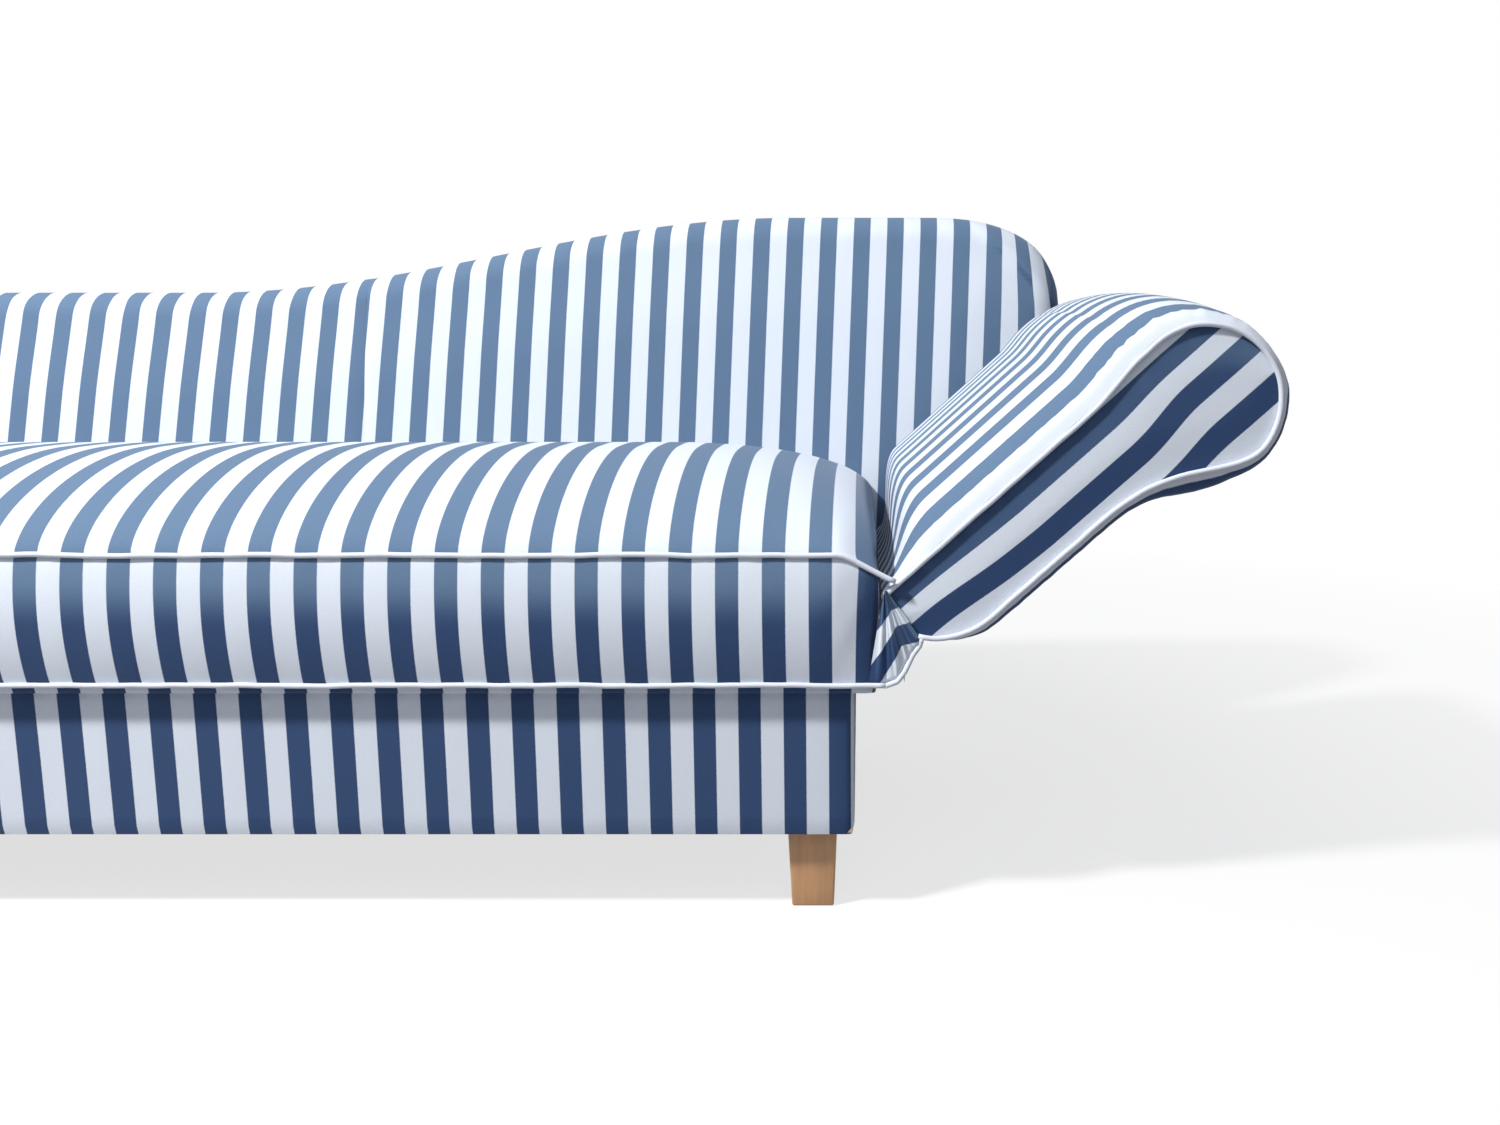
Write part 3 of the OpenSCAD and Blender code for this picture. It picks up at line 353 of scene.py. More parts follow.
def wood_material(name, colour, gloss, stretch=(1, 1, 0.08)):
    if name in bpy.data.materials:
        return bpy.data.materials[name]
    material, tree, shader = start_material(name)
    place = tree.nodes.new("ShaderNodeTexCoord")
    grain = place_group(tree, grain_group(), Place=place.outputs["Object"], Stretch=stretch)
    dark = tuple(c * 0.62 for c in colour[:3]) + (1,)
    light = tuple(min(1, c * 1.22) for c in colour[:3]) + (1,)
    tone = mixed(tree, grain.outputs["Grain"], dark, light)
    open_grain = maths(tree, "SUBTRACT", grain.outputs["Pores"], 0.62)
    pores = maths(tree, "MULTIPLY_ADD", open_grain, 4.0, 0.0, clamp=True)
    tree.links.new(mixed(tree, maths(tree, "MULTIPLY", pores, 0.5), tone, dark), shader.inputs["Base Color"])
    tree.links.new(maths(tree, "MULTIPLY_ADD", grain.outputs["Grain"], 0.2, 0.5 - gloss * 0.3),
                   shader.inputs["Roughness"])
    shader.inputs["Coat Weight"].default_value = gloss
    shader.inputs["Coat Roughness"].default_value = 0.25
    add_bump(tree, shader, grain.outputs["Pores"], 0.0003, 0.3)
    return material


def steel_material():
    if "zinc steel" in bpy.data.materials:
        return bpy.data.materials["zinc steel"]
    material, tree, shader = start_material("zinc steel")
    place = tree.nodes.new("ShaderNodeTexCoord")
    cloud = noise(tree, place.outputs["Object"], 90, 4, 0.6)
    zinc = mixed(tree, cloud, (0.42, 0.43, 0.45, 1), (0.66, 0.66, 0.65, 1))
    tree.links.new(zinc, shader.inputs["Base Color"])
    tree.links.new(maths(tree, "MULTIPLY_ADD", cloud, 0.25, 0.28), shader.inputs["Roughness"])
    shader.inputs["Metallic"].default_value = 0.9
    add_bump(tree, shader, noise(tree, place.outputs["Object"], 700, 2), 0.0002, 0.2)
    return material


def plain_soft(name, colour, scale, depth):
    """Foam, felt, webbing or fleece seen close: cells or fibres from noise on Object coordinates."""
    if name in bpy.data.materials:
        return bpy.data.materials[name]
    material, tree, shader = start_material(name)
    place = tree.nodes.new("ShaderNodeTexCoord")
    fibre = noise(tree, place.outputs["Object"], scale, 4, 0.7)
    dark = tuple(c * 0.7 for c in colour) + (1,)
    tree.links.new(mixed(tree, fibre, dark, tuple(colour) + (1,)), shader.inputs["Base Color"])
    tree.links.new(maths(tree, "MULTIPLY_ADD", fibre, 0.2, 0.75), shader.inputs["Roughness"])
    shader.inputs["Sheen Weight"].default_value = 0.2
    add_bump(tree, shader, fibre, depth, 0.5)
    return material


# Shapes as arrays, in millimetres

def smooth(t):
    u = np.clip(t, 0, 1)
    return u * u * (3 - 2 * u)


def ripple(t, period, seed):
    """An even, repeatable waviness of mixed lengths, about -1 to 1."""
    a = np.sin(2 * np.pi * t / period + seed)
    b = np.sin(2 * np.pi * t / (period * 0.618) + 2.1 * seed + 0.7)
    c = np.sin(2 * np.pi * t / (period * 1.73) + 3.7 * seed + 1.9)
    return (a + 0.7 * b + 0.8 * c) / 2.0


def dome(e, power):
    t = np.clip(e / CROWN_REACH, 0, 1)
    return np.power(np.maximum(0, 1 - (1 - t) ** 2), power)


def crown(dy, e0, e1):
    return CROWN_H * dome(dy, 0.65) * dome(e0, 0.5) * dome(e1, 0.35) \
        * (1 - 0.35 * np.power(np.clip((dy - 300) / 256, 0, 1), 2.5))


def corner_step(e):
    return np.where(e >= CORNER_R, 0, CORNER_R - np.sqrt(np.maximum(0, CORNER_R ** 2 - (CORNER_R - e) ** 2)))


def along(points, share):
    """Points at given shares of a polyline's length, and that length."""
    points = np.asarray(points, float)
    steps = np.concatenate([[0], np.cumsum(np.linalg.norm(np.diff(points, axis=0), axis=1))])
    where = np.asarray(share) * steps[-1]
    return np.stack([np.interp(where, steps, points[:, k]) for k in range(points.shape[1])], -1), steps[-1]


def right_of(points, share, step):
    """Unit vectors to the right of a plane line's run, at given shares of its length."""
    ahead, _ = along(points, np.clip(share + step, 0, 1))
    behind, _ = along(points, np.clip(share - step, 0, 1))
    t = ahead - behind
    t /= np.linalg.norm(t, axis=1)[:, None]
    return np.stack([t[:, 1], -t[:, 0]], -1)


def left_of(line):
    """Unit vectors to the left of a plane line's run, at each of its points."""
    t = np.gradient(line, axis=0)
    t /= np.linalg.norm(t, axis=1)[:, None]
    return np.stack([-t[:, 1], t[:, 0]], -1)


def arc(centre, radius, a0, a1, count):
    a = np.radians(np.linspace(a0, a1, count + 1))
    return [(centre[0] + radius * math.cos(t), centre[1] + radius * math.sin(t)) for t in a]


def curve(points, count):
    """A smooth line through a few chosen points."""
    p = np.asarray(points, float)
    p = np.vstack([2 * p[0] - p[1], p, 2 * p[-1] - p[-2]])
    line = []
    for k in range(1, len(p) - 2):
        a, b, c, d = p[k - 1:k + 3]
        for t in np.linspace(0, 1, count, endpoint=False):
            line.append(0.5 * (2 * b + (c - a) * t + (2 * a - 5 * b + 4 * c - d) * t * t
                               + (3 * b - a - 3 * c + d) * t ** 3))
    return [tuple(q) for q in line] + [tuple(p[-2])]


# Mesh helpers

def finish_object(name, bm, material, body, cad_nodes=()):
    bm.normal_update()
    mesh = bpy.data.meshes.new(name)
    bm.to_mesh(mesh)
    bm.free()
    obj = bpy.data.objects.new(name, mesh)
    bpy.context.scene.collection.objects.link(obj)
    mesh.shade_smooth()
    mesh.materials.append(material)
    if cad_nodes:
        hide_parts(*cad_nodes)
    if body:
        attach(obj, body)
    return obj


def cloth_grid(name, columns, rows, place, material, body, cad_nodes=(),
               wrap=False, flip=False):
    """A grid whose vertices are moved by place(u, v) to (x, y, z) in mm and (across, along) in mm."""
    bm = bmesh.new()
    bmesh.ops.create_grid(bm, x_segments=columns, y_segments=rows, size=0.5)
    bm.verts.ensure_lookup_table()
    co = np.array([v.co[:2] for v in bm.verts]) + 0.5
    spot, cloth = place(np.clip(co[:, 0], 0, 1), np.clip(co[:, 1], 0, 1))
    layer = bm.loops.layers.uv.new("cloth")
    for vert, point in zip(bm.verts, spot):
        vert.co = point * 0.001
    for face in bm.faces:
        for loop in face.loops:
            loop[layer].uv = cloth[loop.vert.index] * 0.001
    if wrap:
        bmesh.ops.remove_doubles(bm, verts=bm.verts, dist=1e-6)
    if flip:
        bmesh.ops.reverse_faces(bm, faces=bm.faces)
    return finish_object(name, bm, material, body, cad_nodes)


def piping(name, points, body, cad_nodes=()):
    """A covered cord along a line of points in mm, closed at both ends."""
    radius = sizes().piping_radius * 1000
    points = np.asarray(points, float)
    _, length = along(points, [0, 1])
    count = max(24, int(length / 7))
    line, _ = along(points, np.linspace(0, 1, count + 1))
    tangent = np.gradient(line, axis=0)
    tangent /= np.linalg.norm(tangent, axis=1)[:, None]
    side = np.cross(tangent, [0, 1, 0])
    upright = np.linalg.norm(side, axis=1) < 0.3
    side[upright] = np.cross(tangent[upright], [1, 0, 0])
    for i in range(1, len(side)):
        side[i] = side[i - 1] - tangent[i] * np.dot(side[i - 1], tangent[i])
        side[i] /= np.linalg.norm(side[i])
    side[0] /= np.linalg.norm(side[0])
    up = np.cross(tangent, side)
    line = line + side * (0.3 * ripple(np.linspace(0, length, count + 1), 61, 1.3))[:, None]

    def place(u, v):
        k = np.clip(np.rint(u * count).astype(int), 0, count)
        a = 2 * np.pi * v
        spot = line[k] + radius * (np.cos(a)[:, None] * side[k] + np.sin(a)[:, None] * up[k])
        return spot, np.stack([v * 2 * np.pi * radius, u * length], -1)

    obj = cloth_grid(name, count, 12, place, piping_material(), body, cad_nodes, wrap=True)
    bm = bmesh.new()
    bm.from_mesh(obj.data)
    bmesh.ops.holes_fill(bm, edges=[e for e in bm.edges if e.is_boundary], sides=16)
    bmesh.ops.recalc_face_normals(bm, faces=bm.faces)
    bm.to_mesh(obj.data)
    bm.free()
    return obj


def striped():
    return cloth_material("striped cotton", colours().white, colours().blue)


def piping_material():
    return cloth_material("white piping", colours().piping, sheen=0.2)


# Seat

def corner_share(x):
    """How far the arm pulls the seat's front edge down and out, 0 to 1."""
    return smooth((x - (SEAT_X1 - 46)) / 60)


def rear_tuck(x, y):
    """How far the seat's foot end runs on past the back's rounded corner, 0 to 1."""
    return smooth((y - SEAT_Y1 + 60) / 60) * np.exp(-np.maximum(0, x - SEAT_X0) / 25)


def boxing_line():
    straight = [(SEAT_X0, SEAT_Y1), (SEAT_X0, FRONT_Y + CORNER_R)]
    corner = arc((SEAT_X0 + CORNER_R, FRONT_Y + CORNER_R), CORNER_R, 180, 270, 8)[1:]
    end = [(SEAT_X1 - 8, FRONT_Y)] + arc((SEAT_X1 - 8, FRONT_Y + 8), 8, 270, 360, 4)[1:]
    return straight + corner + end + [(SEAT_X1, SEAT_Y1)]


def seat_top_place(u, v):
    e0 = SEAT_L * (0.65 * (1 - np.cos(np.pi * u)) / 2 + 0.35 * u)
    x = SEAT_X0 + e0
    e1 = SEAT_X1 - x
    y1 = SEAT_Y1 + (EDGE_Z - SEAT_Z) * LEAN_TAN + 3 + 24 * np.exp(-e0 / 40)
    y0 = FRONT_Y + corner_step(np.maximum(0.01, e0))
    s = 0.75 * (1 - np.cos(np.pi * v / 2)) + 0.25 * v * v
    dy = (y1 - y0) * s
    z = EDGE_Z + crown(dy, e0, e1)
    near = np.exp(-dy / 26) * (1 - np.exp(-dy / 3))
    z += sizes().pucker * 1000 * near * ripple(x, 47, 0.4)
    drop = corner_share(x) * np.exp(-dy / 60)
    z -= CORNER_DROP * drop
    pull = CORNER_PULL * drop * np.exp(-dy / 3)
    x = x + pull
    tuck = REAR_TUCK * rear_tuck(x, y0 + dy)
    return np.stack([x + tuck, y0 + dy, z], -1), np.stack([x - PHOTO_X + SEAT_PHASE - pull, dy], -1)


def boxing_place(u, v):
    line, length = along(boxing_line(), u)
    outward = right_of(boxing_line(), u, 0.0015)
    x, y = line[:, 0], line[:, 1]
    bulge = BULGE * np.power(np.maximum(0, np.sin(np.pi * v)), 0.8) * smooth((SEAT_X1 - x) / 60)
    front = smooth((FRONT_Y + 30 - y) / 20)
    seam = np.exp(-v * BOXING_H / 22) + np.exp(-(1 - v) * BOXING_H / 22)
    puck = 1.1 * ripple(x, 39, 2.2) * seam * front
    pulled = front * smooth((x - (SEAT_X1 - 62)) / 30)
    folds = 3.6 * ripple(x + 26 * v, 24, 0.8) * (0.4 + 0.6 * v) * np.sin(np.pi * np.clip(v, 0, 1))
    tuck = rear_tuck(x, y)
    offset = (bulge + (puck + pulled * folds) * np.sin(np.pi * v) ** 0.5) * (1 - tuck)
    drop = corner_share(x) * front
    z = SEAT_Z + BOXING_H * v - CORNER_DROP * drop * v ** 1.5
    pull = CORNER_PULL * drop * v ** 2 * smooth((FRONT_Y + 4 - y) / 4)
    rear = tuck * (REAR_RUN + (z - SEAT_Z) * LEAN_TAN)
    spot = np.stack([x + outward[:, 0] * offset + pull + REAR_TUCK * tuck,
                     y + outward[:, 1] * offset + rear, z], -1)
    corner_run = SEAT_Y1 - FRONT_Y - CORNER_R + CORNER_R * math.pi / 2
    across = SEAT_X0 + CORNER_R + u * length - corner_run
    return spot, np.stack([across - PHOTO_X + SEAT_PHASE, v * BOXING_H], -1)


def hem_place(u, v):
    """Cloth turned in under the seat, above the base."""
    line, _ = along(boxing_line(), u)
    outward = right_of(boxing_line(), u, 0.0015)
    inward = np.interp(v, [0, 0.4, 1], [20, 3.5, 1])
    z = np.interp(v, [0, 0.4, 1], [HEM_LOW, HEM_LOW, HEM_HIGH])
    tuck = rear_tuck(line[:, 0], line[:, 1])
    place = line - outward * inward[:, None]
    spot = np.stack([place[:, 0] + REAR_TUCK * tuck, place[:, 1] + REAR_RUN * tuck, z], -1)
    nearer = 1 + SETBACK / CAMERA_BEFORE
    return spot, np.stack([(line[:, 0] - PHOTO_X) * nearer + BASE_PHASE, z], -1)


def corner_points(z):
    """The pipings' way round the seat's rounded front corner."""
    centre = (SEAT_X0 + CORNER_R, FRONT_Y + CORNER_R)
    return [(x, y, z) for x, y in arc(centre, CORNER_R + PIPE_R, 180, 270, 8)][1:]


def piping_left(z, rear):
    """The pipings' way along the foot end, from the back to the front corner."""
    x = SEAT_X0 - PIPE_R
    return [(x + REAR_TUCK, SEAT_Y1 + rear, z), (x + 6, SEAT_Y1, z), (x, SEAT_Y1 - 60, z),
            (x, FRONT_Y + CORNER_R, z)]


def upper_piping_line():
    run = [(x, FRONT_Y - PIPE_R, EDGE_Z + 0.8 * float(ripple(np.array(x), 210, 0.2)))
           for x in np.linspace(SEAT_X0 + 60, SEAT_X1 - 48, 60)]
    dip = []
    for x in np.linspace(SEAT_X1 - 46, SEAT_X1 + 6, 9):
        drop = float(corner_share(x))
        dip.append((x + CORNER_PULL * drop, FRONT_Y - PIPE_R, EDGE_Z - CORNER_DROP * drop))
    return piping_left(EDGE_Z, 50) + corner_points(EDGE_Z) + run + dip


def lower_piping_line():
    run = [(x, FRONT_Y - PIPE_R, SEAT_Z + 0.6 * float(ripple(np.array(x), 190, 1.2)))
           for x in np.linspace(SEAT_X0 + 60, SEAT_X1 + 8, 60)]
    return piping_left(SEAT_Z, REAR_RUN) + corner_points(SEAT_Z) + run


# Back

def outline_z(x):
    along_wave = np.clip((x - WAVE_X0) / (WAVE_X1 - WAVE_X0), 0, 1)
    wave = BACK_LOW + (BACK_TOP - BACK_LOW) * (1 - np.cos(np.pi * along_wave)) / 2
    e = np.clip(x - BACK_X0, 0, FOOT_R)
    wave = wave - (FOOT_R - np.sqrt(np.maximum(0, FOOT_R ** 2 - (FOOT_R - e) ** 2)))
    u = np.clip((x - (BACK_X1 - WING_L)) / WING_L, 0, 1)
    wing = WING_MID + (BACK_TOP - WING_MID) * np.power(1 - np.power(u, 2.4), 1 / 2.4)
    return np.where(x > BACK_X1 - WING_L, wing, wave) + TOP_LIFT * smooth((BACK_X1 - x) / 40)


def lower_z(x):
    q = np.clip((x - WING_X0) / (BACK_X1 - WING_X0), 0, 1)
    depth = WING_MID - SEAT_Z - 28 * smooth((x - WING_X0) / 30)
    return np.where(x < WING_X0, SEAT_Z, WING_MID - depth * np.sqrt(np.maximum(0, 1 - q ** 2)))


def up_lean(z):
    return (z - SEAT_Z) / LEAN_COS


def from_back(x, t, w):
    return np.stack([x, REST_Y + t * LEAN_COS + w * LEAN_SIN, SEAT_Z - t * LEAN_SIN + w * LEAN_COS], -1)


def back_edge():
    """The closed outline in x and w, from the foot end's bottom up, over the wave and round the wing."""
    foot_x = BACK_X0 + FOOT_R * (1 - np.cos(np.linspace(0, np.pi / 2, 30)))
    wave_x = np.linspace(BACK_X0 + FOOT_R + 5, BACK_X1 - WING_L, 160)
    wing_x = BACK_X1 - WING_L + WING_L * np.sin(np.linspace(0.02, np.pi / 2, 60))
    xs = np.concatenate([foot_x, wave_x, wing_x])
    top = np.stack([xs, up_lean(outline_z(xs))], -1)
    back = np.linspace(0.02, 1, 60)
    under_x = BACK_X1 - (BACK_X1 - WING_X0) * (1 - np.cos(back * np.pi / 2))
    under = np.stack([under_x, up_lean(lower_z(under_x))], -1)
    return np.concatenate([[(BACK_X0, 0.0)], top, under])


def edge_distance(x, w):
    """How far a point of the back lies inside its outline, not counting the level foot."""
    line = back_edge()
    a, b = line[:-1], line[1:]
    best = np.full(x.shape, 1e9)
    for p, q in zip(a, b):
        d = q - p
        t = np.clip(((x - p[0]) * d[0] + (w - p[1]) * d[1]) / max(1e-9, d @ d), 0, 1)
        best = np.minimum(best, np.hypot(x - p[0] - t * d[0], w - p[1] - t * d[1]))
    return best


def back_front(x, w):
    """Depth t of the cloth's front at a point of the back: a rolled edge and a soft field."""
    d = edge_distance(x, w)
    round_edge = BACK_ROLL - np.sqrt(np.maximum(0, BACK_ROLL ** 2 - (BACK_ROLL - d) ** 2))
    return np.where(d < BACK_ROLL, round_edge, 0) - 7 * smooth(d / 170) ** 1.2


def stripe_lean(x, w):
    """The back's stripes lean a little more towards the foot end, and follow the wing's round end."""
    z = SEAT_Z + w
    lean = 0.037 + 0.05 * smooth((200 - x) / 800)
    straight = x - lean * (z - 600)
    e = BACK_X1 - x
    bend = 26 * smooth((110 - e) / 110) * (w - up_lean(WING_MID)) / 130
    return straight + np.where(w > up_lean(WING_MID), bend, 0.4 * bend)


def back_place(x0, x1, offset, seed):
    """One length of the front cover, from x0 to x1, with its stripe moved by the offset."""
    def place(u, v):
        if x0 <= BACK_X0 + 1:
            across = np.where(u < 0.5, (1 - np.cos(np.pi * u)) * 0.5, u)
        else:
            across = 0.6 * np.sin(np.pi * u / 2) + 0.4 * u
        x = x0 + (x1 - x0) * across
        low = up_lean(lower_z(x))
        top = up_lean(outline_z(x))
        w = low + (top - low) * (0.4 * (1 - np.cos(np.pi * v)) + 0.2 * v)
        t = back_front(x, w)
        d = edge_distance(x, w)
        edge_run = x * 0.7 + w * 0.7
        t = t + 1.3 * sizes().pucker * 1000 * np.exp(-((d - 26) / 20) ** 2) * ripple(edge_run, 64, seed)
        turn = smooth((x - (SEAT_X1 + 60)) / 120) * smooth((w - 380) / 100)
        t = t + 1.6 * np.exp(-((d - 34) / 26) ** 2) * ripple(edge_run, 43, seed + 1) * turn
        t = t + 1.6 * np.exp(-((x - SEAM_X) / 3.2) ** 2)
        t = t + 9 * np.where(x < WING_X0, smooth((22 - w) / 22), 0)
        return from_back(x, t, w), np.stack([stripe_lean(x, w) - PHOTO_X + BACK_PHASE + offset, w], -1)
    return place


def border_place(u, v):
    """The cloth from the rolled edge back to the rear, all round the outline."""
    line = back_edge()
    spot, length = along(line, u)
    t = BACK_ROLL + (BACK_T - BACK_ROLL) * v
    tuck = 5 * smooth((v - 0.9) / 0.1)
    puck = 0.8 * ripple(u * length, 70, 0.9) * np.sin(np.pi * v)
    place = spot + right_of(line, u, 0.002) * (tuck + puck)[:, None]
    across = stripe_lean(spot[:, 0], spot[:, 1]) - PHOTO_X + BACK_PHASE
    return from_back(place[:, 0], t, place[:, 1]), np.stack([across, spot[:, 1] + t], -1)


def rear_place(u, v):
    x = BACK_X0 + 2 + (BACK_X1 - BACK_X0 - 4) * (0.5 * (1 - np.cos(np.pi * u)) * 0.6 + 0.4 * u)
    low = up_lean(lower_z(x)) + np.where(x < WING_X0, BACK_T * LEAN_TAN, 4)
    top = up_lean(outline_z(x)) - 4
    w = low + (top - low) * (0.5 * (1 - np.cos(np.pi * v)))
    d = edge_distance(x, w)
    t = BACK_T - 3 * np.exp(-d / 7) - 0.8 * smooth(d / 160)
    return from_back(x, t, w), np.stack([x - PHOTO_X, w], -1)


# Arm

ROLL_C = (ARM_L, PIVOT_N + ROLL_RISE - ROLL_R)
UNDER_N = PIVOT_N - ARM_T
HEEL_R = 90
HEEL_C = (60, UNDER_N + HEEL_R)
NECK_S, ROLL_A, HEEL_A = 284, 98, 215


def arm_top(d=0.0):
    """The inner face's line in s and n, from the crease to the start of the roll."""
    face = np.linspace(14, ARM_L - 20, 60)
    return arc((0, 0), PIVOT_N - d, 118, 92, 6) \
        + [(s, PIVOT_N + (ROLL_RISE - 0.8) * float(smooth((s - NECK_S) / 80)) - d) for s in face]


# The underside's line from the roll to the straight part, as it sags in the photograph
SAG = [(398, -130.3), (386, -130.5), (372, -127), (347, -115), (329, -104.5), (310, -94), (290, -85.5),
       (265, -79), (238, -75.6), (215, -75)]


def arm_under(d=0.0):
    line = np.array(curve(SAG, 8))
    return [tuple(q) for q in line - d * left_of(line)]


def arm_path(d=0.0):
    """The arm's section in s and n, from the crease over the face, the roll and the underside to the heel."""
    return arm_top(d) \
        + arc(ROLL_C, ROLL_R - d, ROLL_A, -75, 56) \
        + arm_under(d) \
        + [(s, UNDER_N + d) for s in np.linspace(205, HEEL_C[0] + 10, 20)] \
        + arc(HEEL_C, HEEL_R - d, 270, HEEL_A, 16)


def from_arm(s, y, n):
    return np.stack([PIVOT_X + s * REST_COS - n * REST_SIN, ARM_Y0 + y,
                     PIVOT_Z + s * REST_SIN + n * REST_COS], -1)


def swell_side(e, reach):
    """A share that rises from 0 at the edge to 1 at the reach."""
    return 1 - (1 - np.clip(e / reach, 0, 1)) ** 2


def swell_over(t):
    """Share of the crown across the band: it climbs slowly from the front and turns down at the back."""
    front = swell_side(t * ARM_DEPTH, 380)
    rear = swell_side((1 - t) * ARM_DEPTH, 55)
    return np.power(front, 0.48) * np.power(rear, 0.48)


def arc_over(height, across):
    """Length of cloth from the front edge to each place across the band, for each height of the crown."""
    t = np.linspace(0, 1, 401)
    swell = swell_over(t)
    lengths = []
    for crown_height in range(0, 130, 10):
        steps = np.hypot(np.diff(t) * ARM_DEPTH, np.diff(swell * crown_height))
        lengths.append(np.interp(across, t, np.concatenate([[0], np.cumsum(steps)])))
    lengths = np.array(lengths)
    k = np.clip(height / 10, 0, 11.999)
    low = np.floor(k).astype(int)
    at = np.arange(len(across))
    return lengths[low, at] * (1 - k + low) + lengths[low + 1, at] * (k - low)


def arm_band_place(u, v):
    """The band over the face, the roll and the underside, with gathers beside both of its seams."""
    line, length = along(arm_path(), np.linspace(0, 1, 1201))
    k = np.clip(np.rint(u * 1200).astype(int), 0, 1200)
    p, out = line[k], left_of(line)[k]
    s, up = p[:, 0], out[:, 1]
    run = u * length
    across = 0.5 * (1 - np.cos(np.pi * v)) * 0.75 + 0.25 * v
    y = -1 + (ARM_DEPTH + 2) * across
    from_front, from_rear = y + 1, ARM_DEPTH + 1 - y

    face = np.where(up > 0, 1 - smooth((s - ROLL_C[0] + 51) / 130), 0)
    level = 0.12 + 0.45 * ((1 + up) / 2) ** 2.5 + 0.43 * face
    height = ARM_CROWN * level * smooth((s + 10) / 105) + 2 * smooth(s / 60)

    roll = smooth((s - 300) / 60)
    near = np.exp(-np.maximum(0, y) / 16) * (1 - np.exp(-from_front / 4)) \
        + np.exp(-np.maximum(0, ARM_DEPTH - y) / 16) * (1 - np.exp(-from_rear / 4))
    gathers = (0.7 + 1.5 * roll * smooth((up - 0.1) / 0.4)) * (ripple(run, 24, 1.7) + 0.6)
    tight = 1.1 * roll * ripple(run, 8.5, 0.3) * smooth((up - 0.2) / 0.4)

    turned = smooth((0.75 - up) / 0.6) * smooth((s + 10) / 60)
    bridge = 9 * np.exp(-((s - 322) / 42) ** 2) * smooth(-up * 2)
    lip = (3 + 5 * smooth(-up / 0.6) + bridge) * turned
    lip = lip * (1 - np.exp(-from_front / 7)) * (1 - np.exp(-from_rear / 7))

    q = p + out * (height * swell_over(across) + near * (gathers + tight) + lip)[:, None]
    cloth = arc_over(height, across) + 28 + 19 * smooth((0.1 - up) / 0.8)
    return from_arm(q[:, 0], y, q[:, 1]), np.stack([cloth, run], -1)


def arm_chains():
    """The arm panel's upper and lower chains between the crease and the roll's far point."""
    top = arm_top() + arc(ROLL_C, ROLL_R, ROLL_A, -20, 40)[1:]
    roll = arc(ROLL_C, ROLL_R, -75, -20, 20)
    under = [(s, UNDER_N) for s in np.linspace(HEEL_C[0], 205, 20)]
    heel = list(reversed(arc(HEEL_C, HEEL_R, 270, HEEL_A, 16)))
    return top, heel + under + list(reversed(arm_under())) + roll


def arm_stripe(s, n):
    """The panel's cloth across the stripes; they rise towards the roll and towards the crease."""
    lift = 8 * smooth((s - 290) / 90) + 10 * smooth((130 - s) / 120)
    lift = lift - 2 * smooth((130 - np.abs(s - 240)) / 60)
    share = 0.1 + 0.9 * smooth((14 - n) / 30) * (1 - 0.45 * smooth((-60 - n) / 40))
    return PIVOT_N - n - 6 + lift * share


def arm_panel_place(side):
    """The front panel, side -1, or the rear one, side 1."""
    top, low = arm_chains()

    def place(u, v):
        share = 0.25 * (1 - np.cos(np.pi * u)) + 0.5 * u
        a, _ = along(top, share)
        b, _ = along(low, share)
        p = a + (b - a) * v[:, None]
        edge = np.minimum(v, 1 - v) * np.linalg.norm(b - a, axis=1)
        proud = sizes().panel_crown * 1000 * smooth(edge / 60)
        puck = 0.5 * ripple(p[:, 0], 33, 0.5) * np.exp(-edge / 9) * (1 - np.exp(-edge / 1.5))
        y = (0 if side < 0 else ARM_DEPTH) + side * (proud + puck)
        return from_arm(p[:, 0], y, p[:, 1]), np.stack([arm_stripe(p[:, 0], p[:, 1]), p[:, 0]], -1)
    return place


def arm_piping_line(y):
    line, _ = along(arm_path(PIPE_R), np.linspace(0, 1, 400))
    return from_arm(line[:, 0], np.full(400, y), line[:, 1])


# Cloth round the tilt zone

CREASE = (SEAT_X1 + 6, 380)
FOLD_EDGE = [(SEAT_X1 - 12, 270), (SEAT_X1 + 7, 271), (SEAT_X1 + 21, 276), (SEAT_X1 + 29, 287),
             (SEAT_X1 + 37, 304), (SEAT_X1 + 45, 314), (SEAT_X1 + 47, 322)]


def fold_place(u, v):
    """Front cloth that fans out of the crease in folds and turns up under the arm."""
    edge, _ = along(FOLD_EDGE, u)
    away = edge - np.array(CREASE)
    reach = np.hypot(away[:, 0], away[:, 1])
    angle = np.degrees(np.arctan2(away[:, 1], away[:, 0]))
    radius = 3 + (reach - 3) * v
    x = CREASE[0] + radius * np.cos(np.radians(angle))
    z = CREASE[1] + radius * np.sin(np.radians(angle))
    folds = (2.4 * ripple(angle, 11, 1.0) + 0.8 * ripple(angle, 5, 0.3)) * smooth(radius / 26)
    folds = folds * smooth((reach - radius) / 22 + 0.25)
    y = FRONT_Y - 2 + (ARM_Y0 - 4 - FRONT_Y) * smooth(u) - 3.5 * np.sin(np.pi * u) * np.sin(np.pi * v)
    y = y + folds * np.sin(np.pi * u) ** 0.5
    y = y + 3 * smooth((radius - reach + 7) / 7)
    n = 28.4 - radius * np.sin(np.radians(ARM_REST - angle))
    grow = np.interp(angle, [-105, -92, -73, -50], [0.45, 0.7, 1.1, 1.0])
    across = radius * grow - 8.4 + 10 * (0.35 + 0.65 * smooth((12 - n) / 30))
    return np.stack([x, y, z], -1), np.stack([across, angle * 0.6], -1)


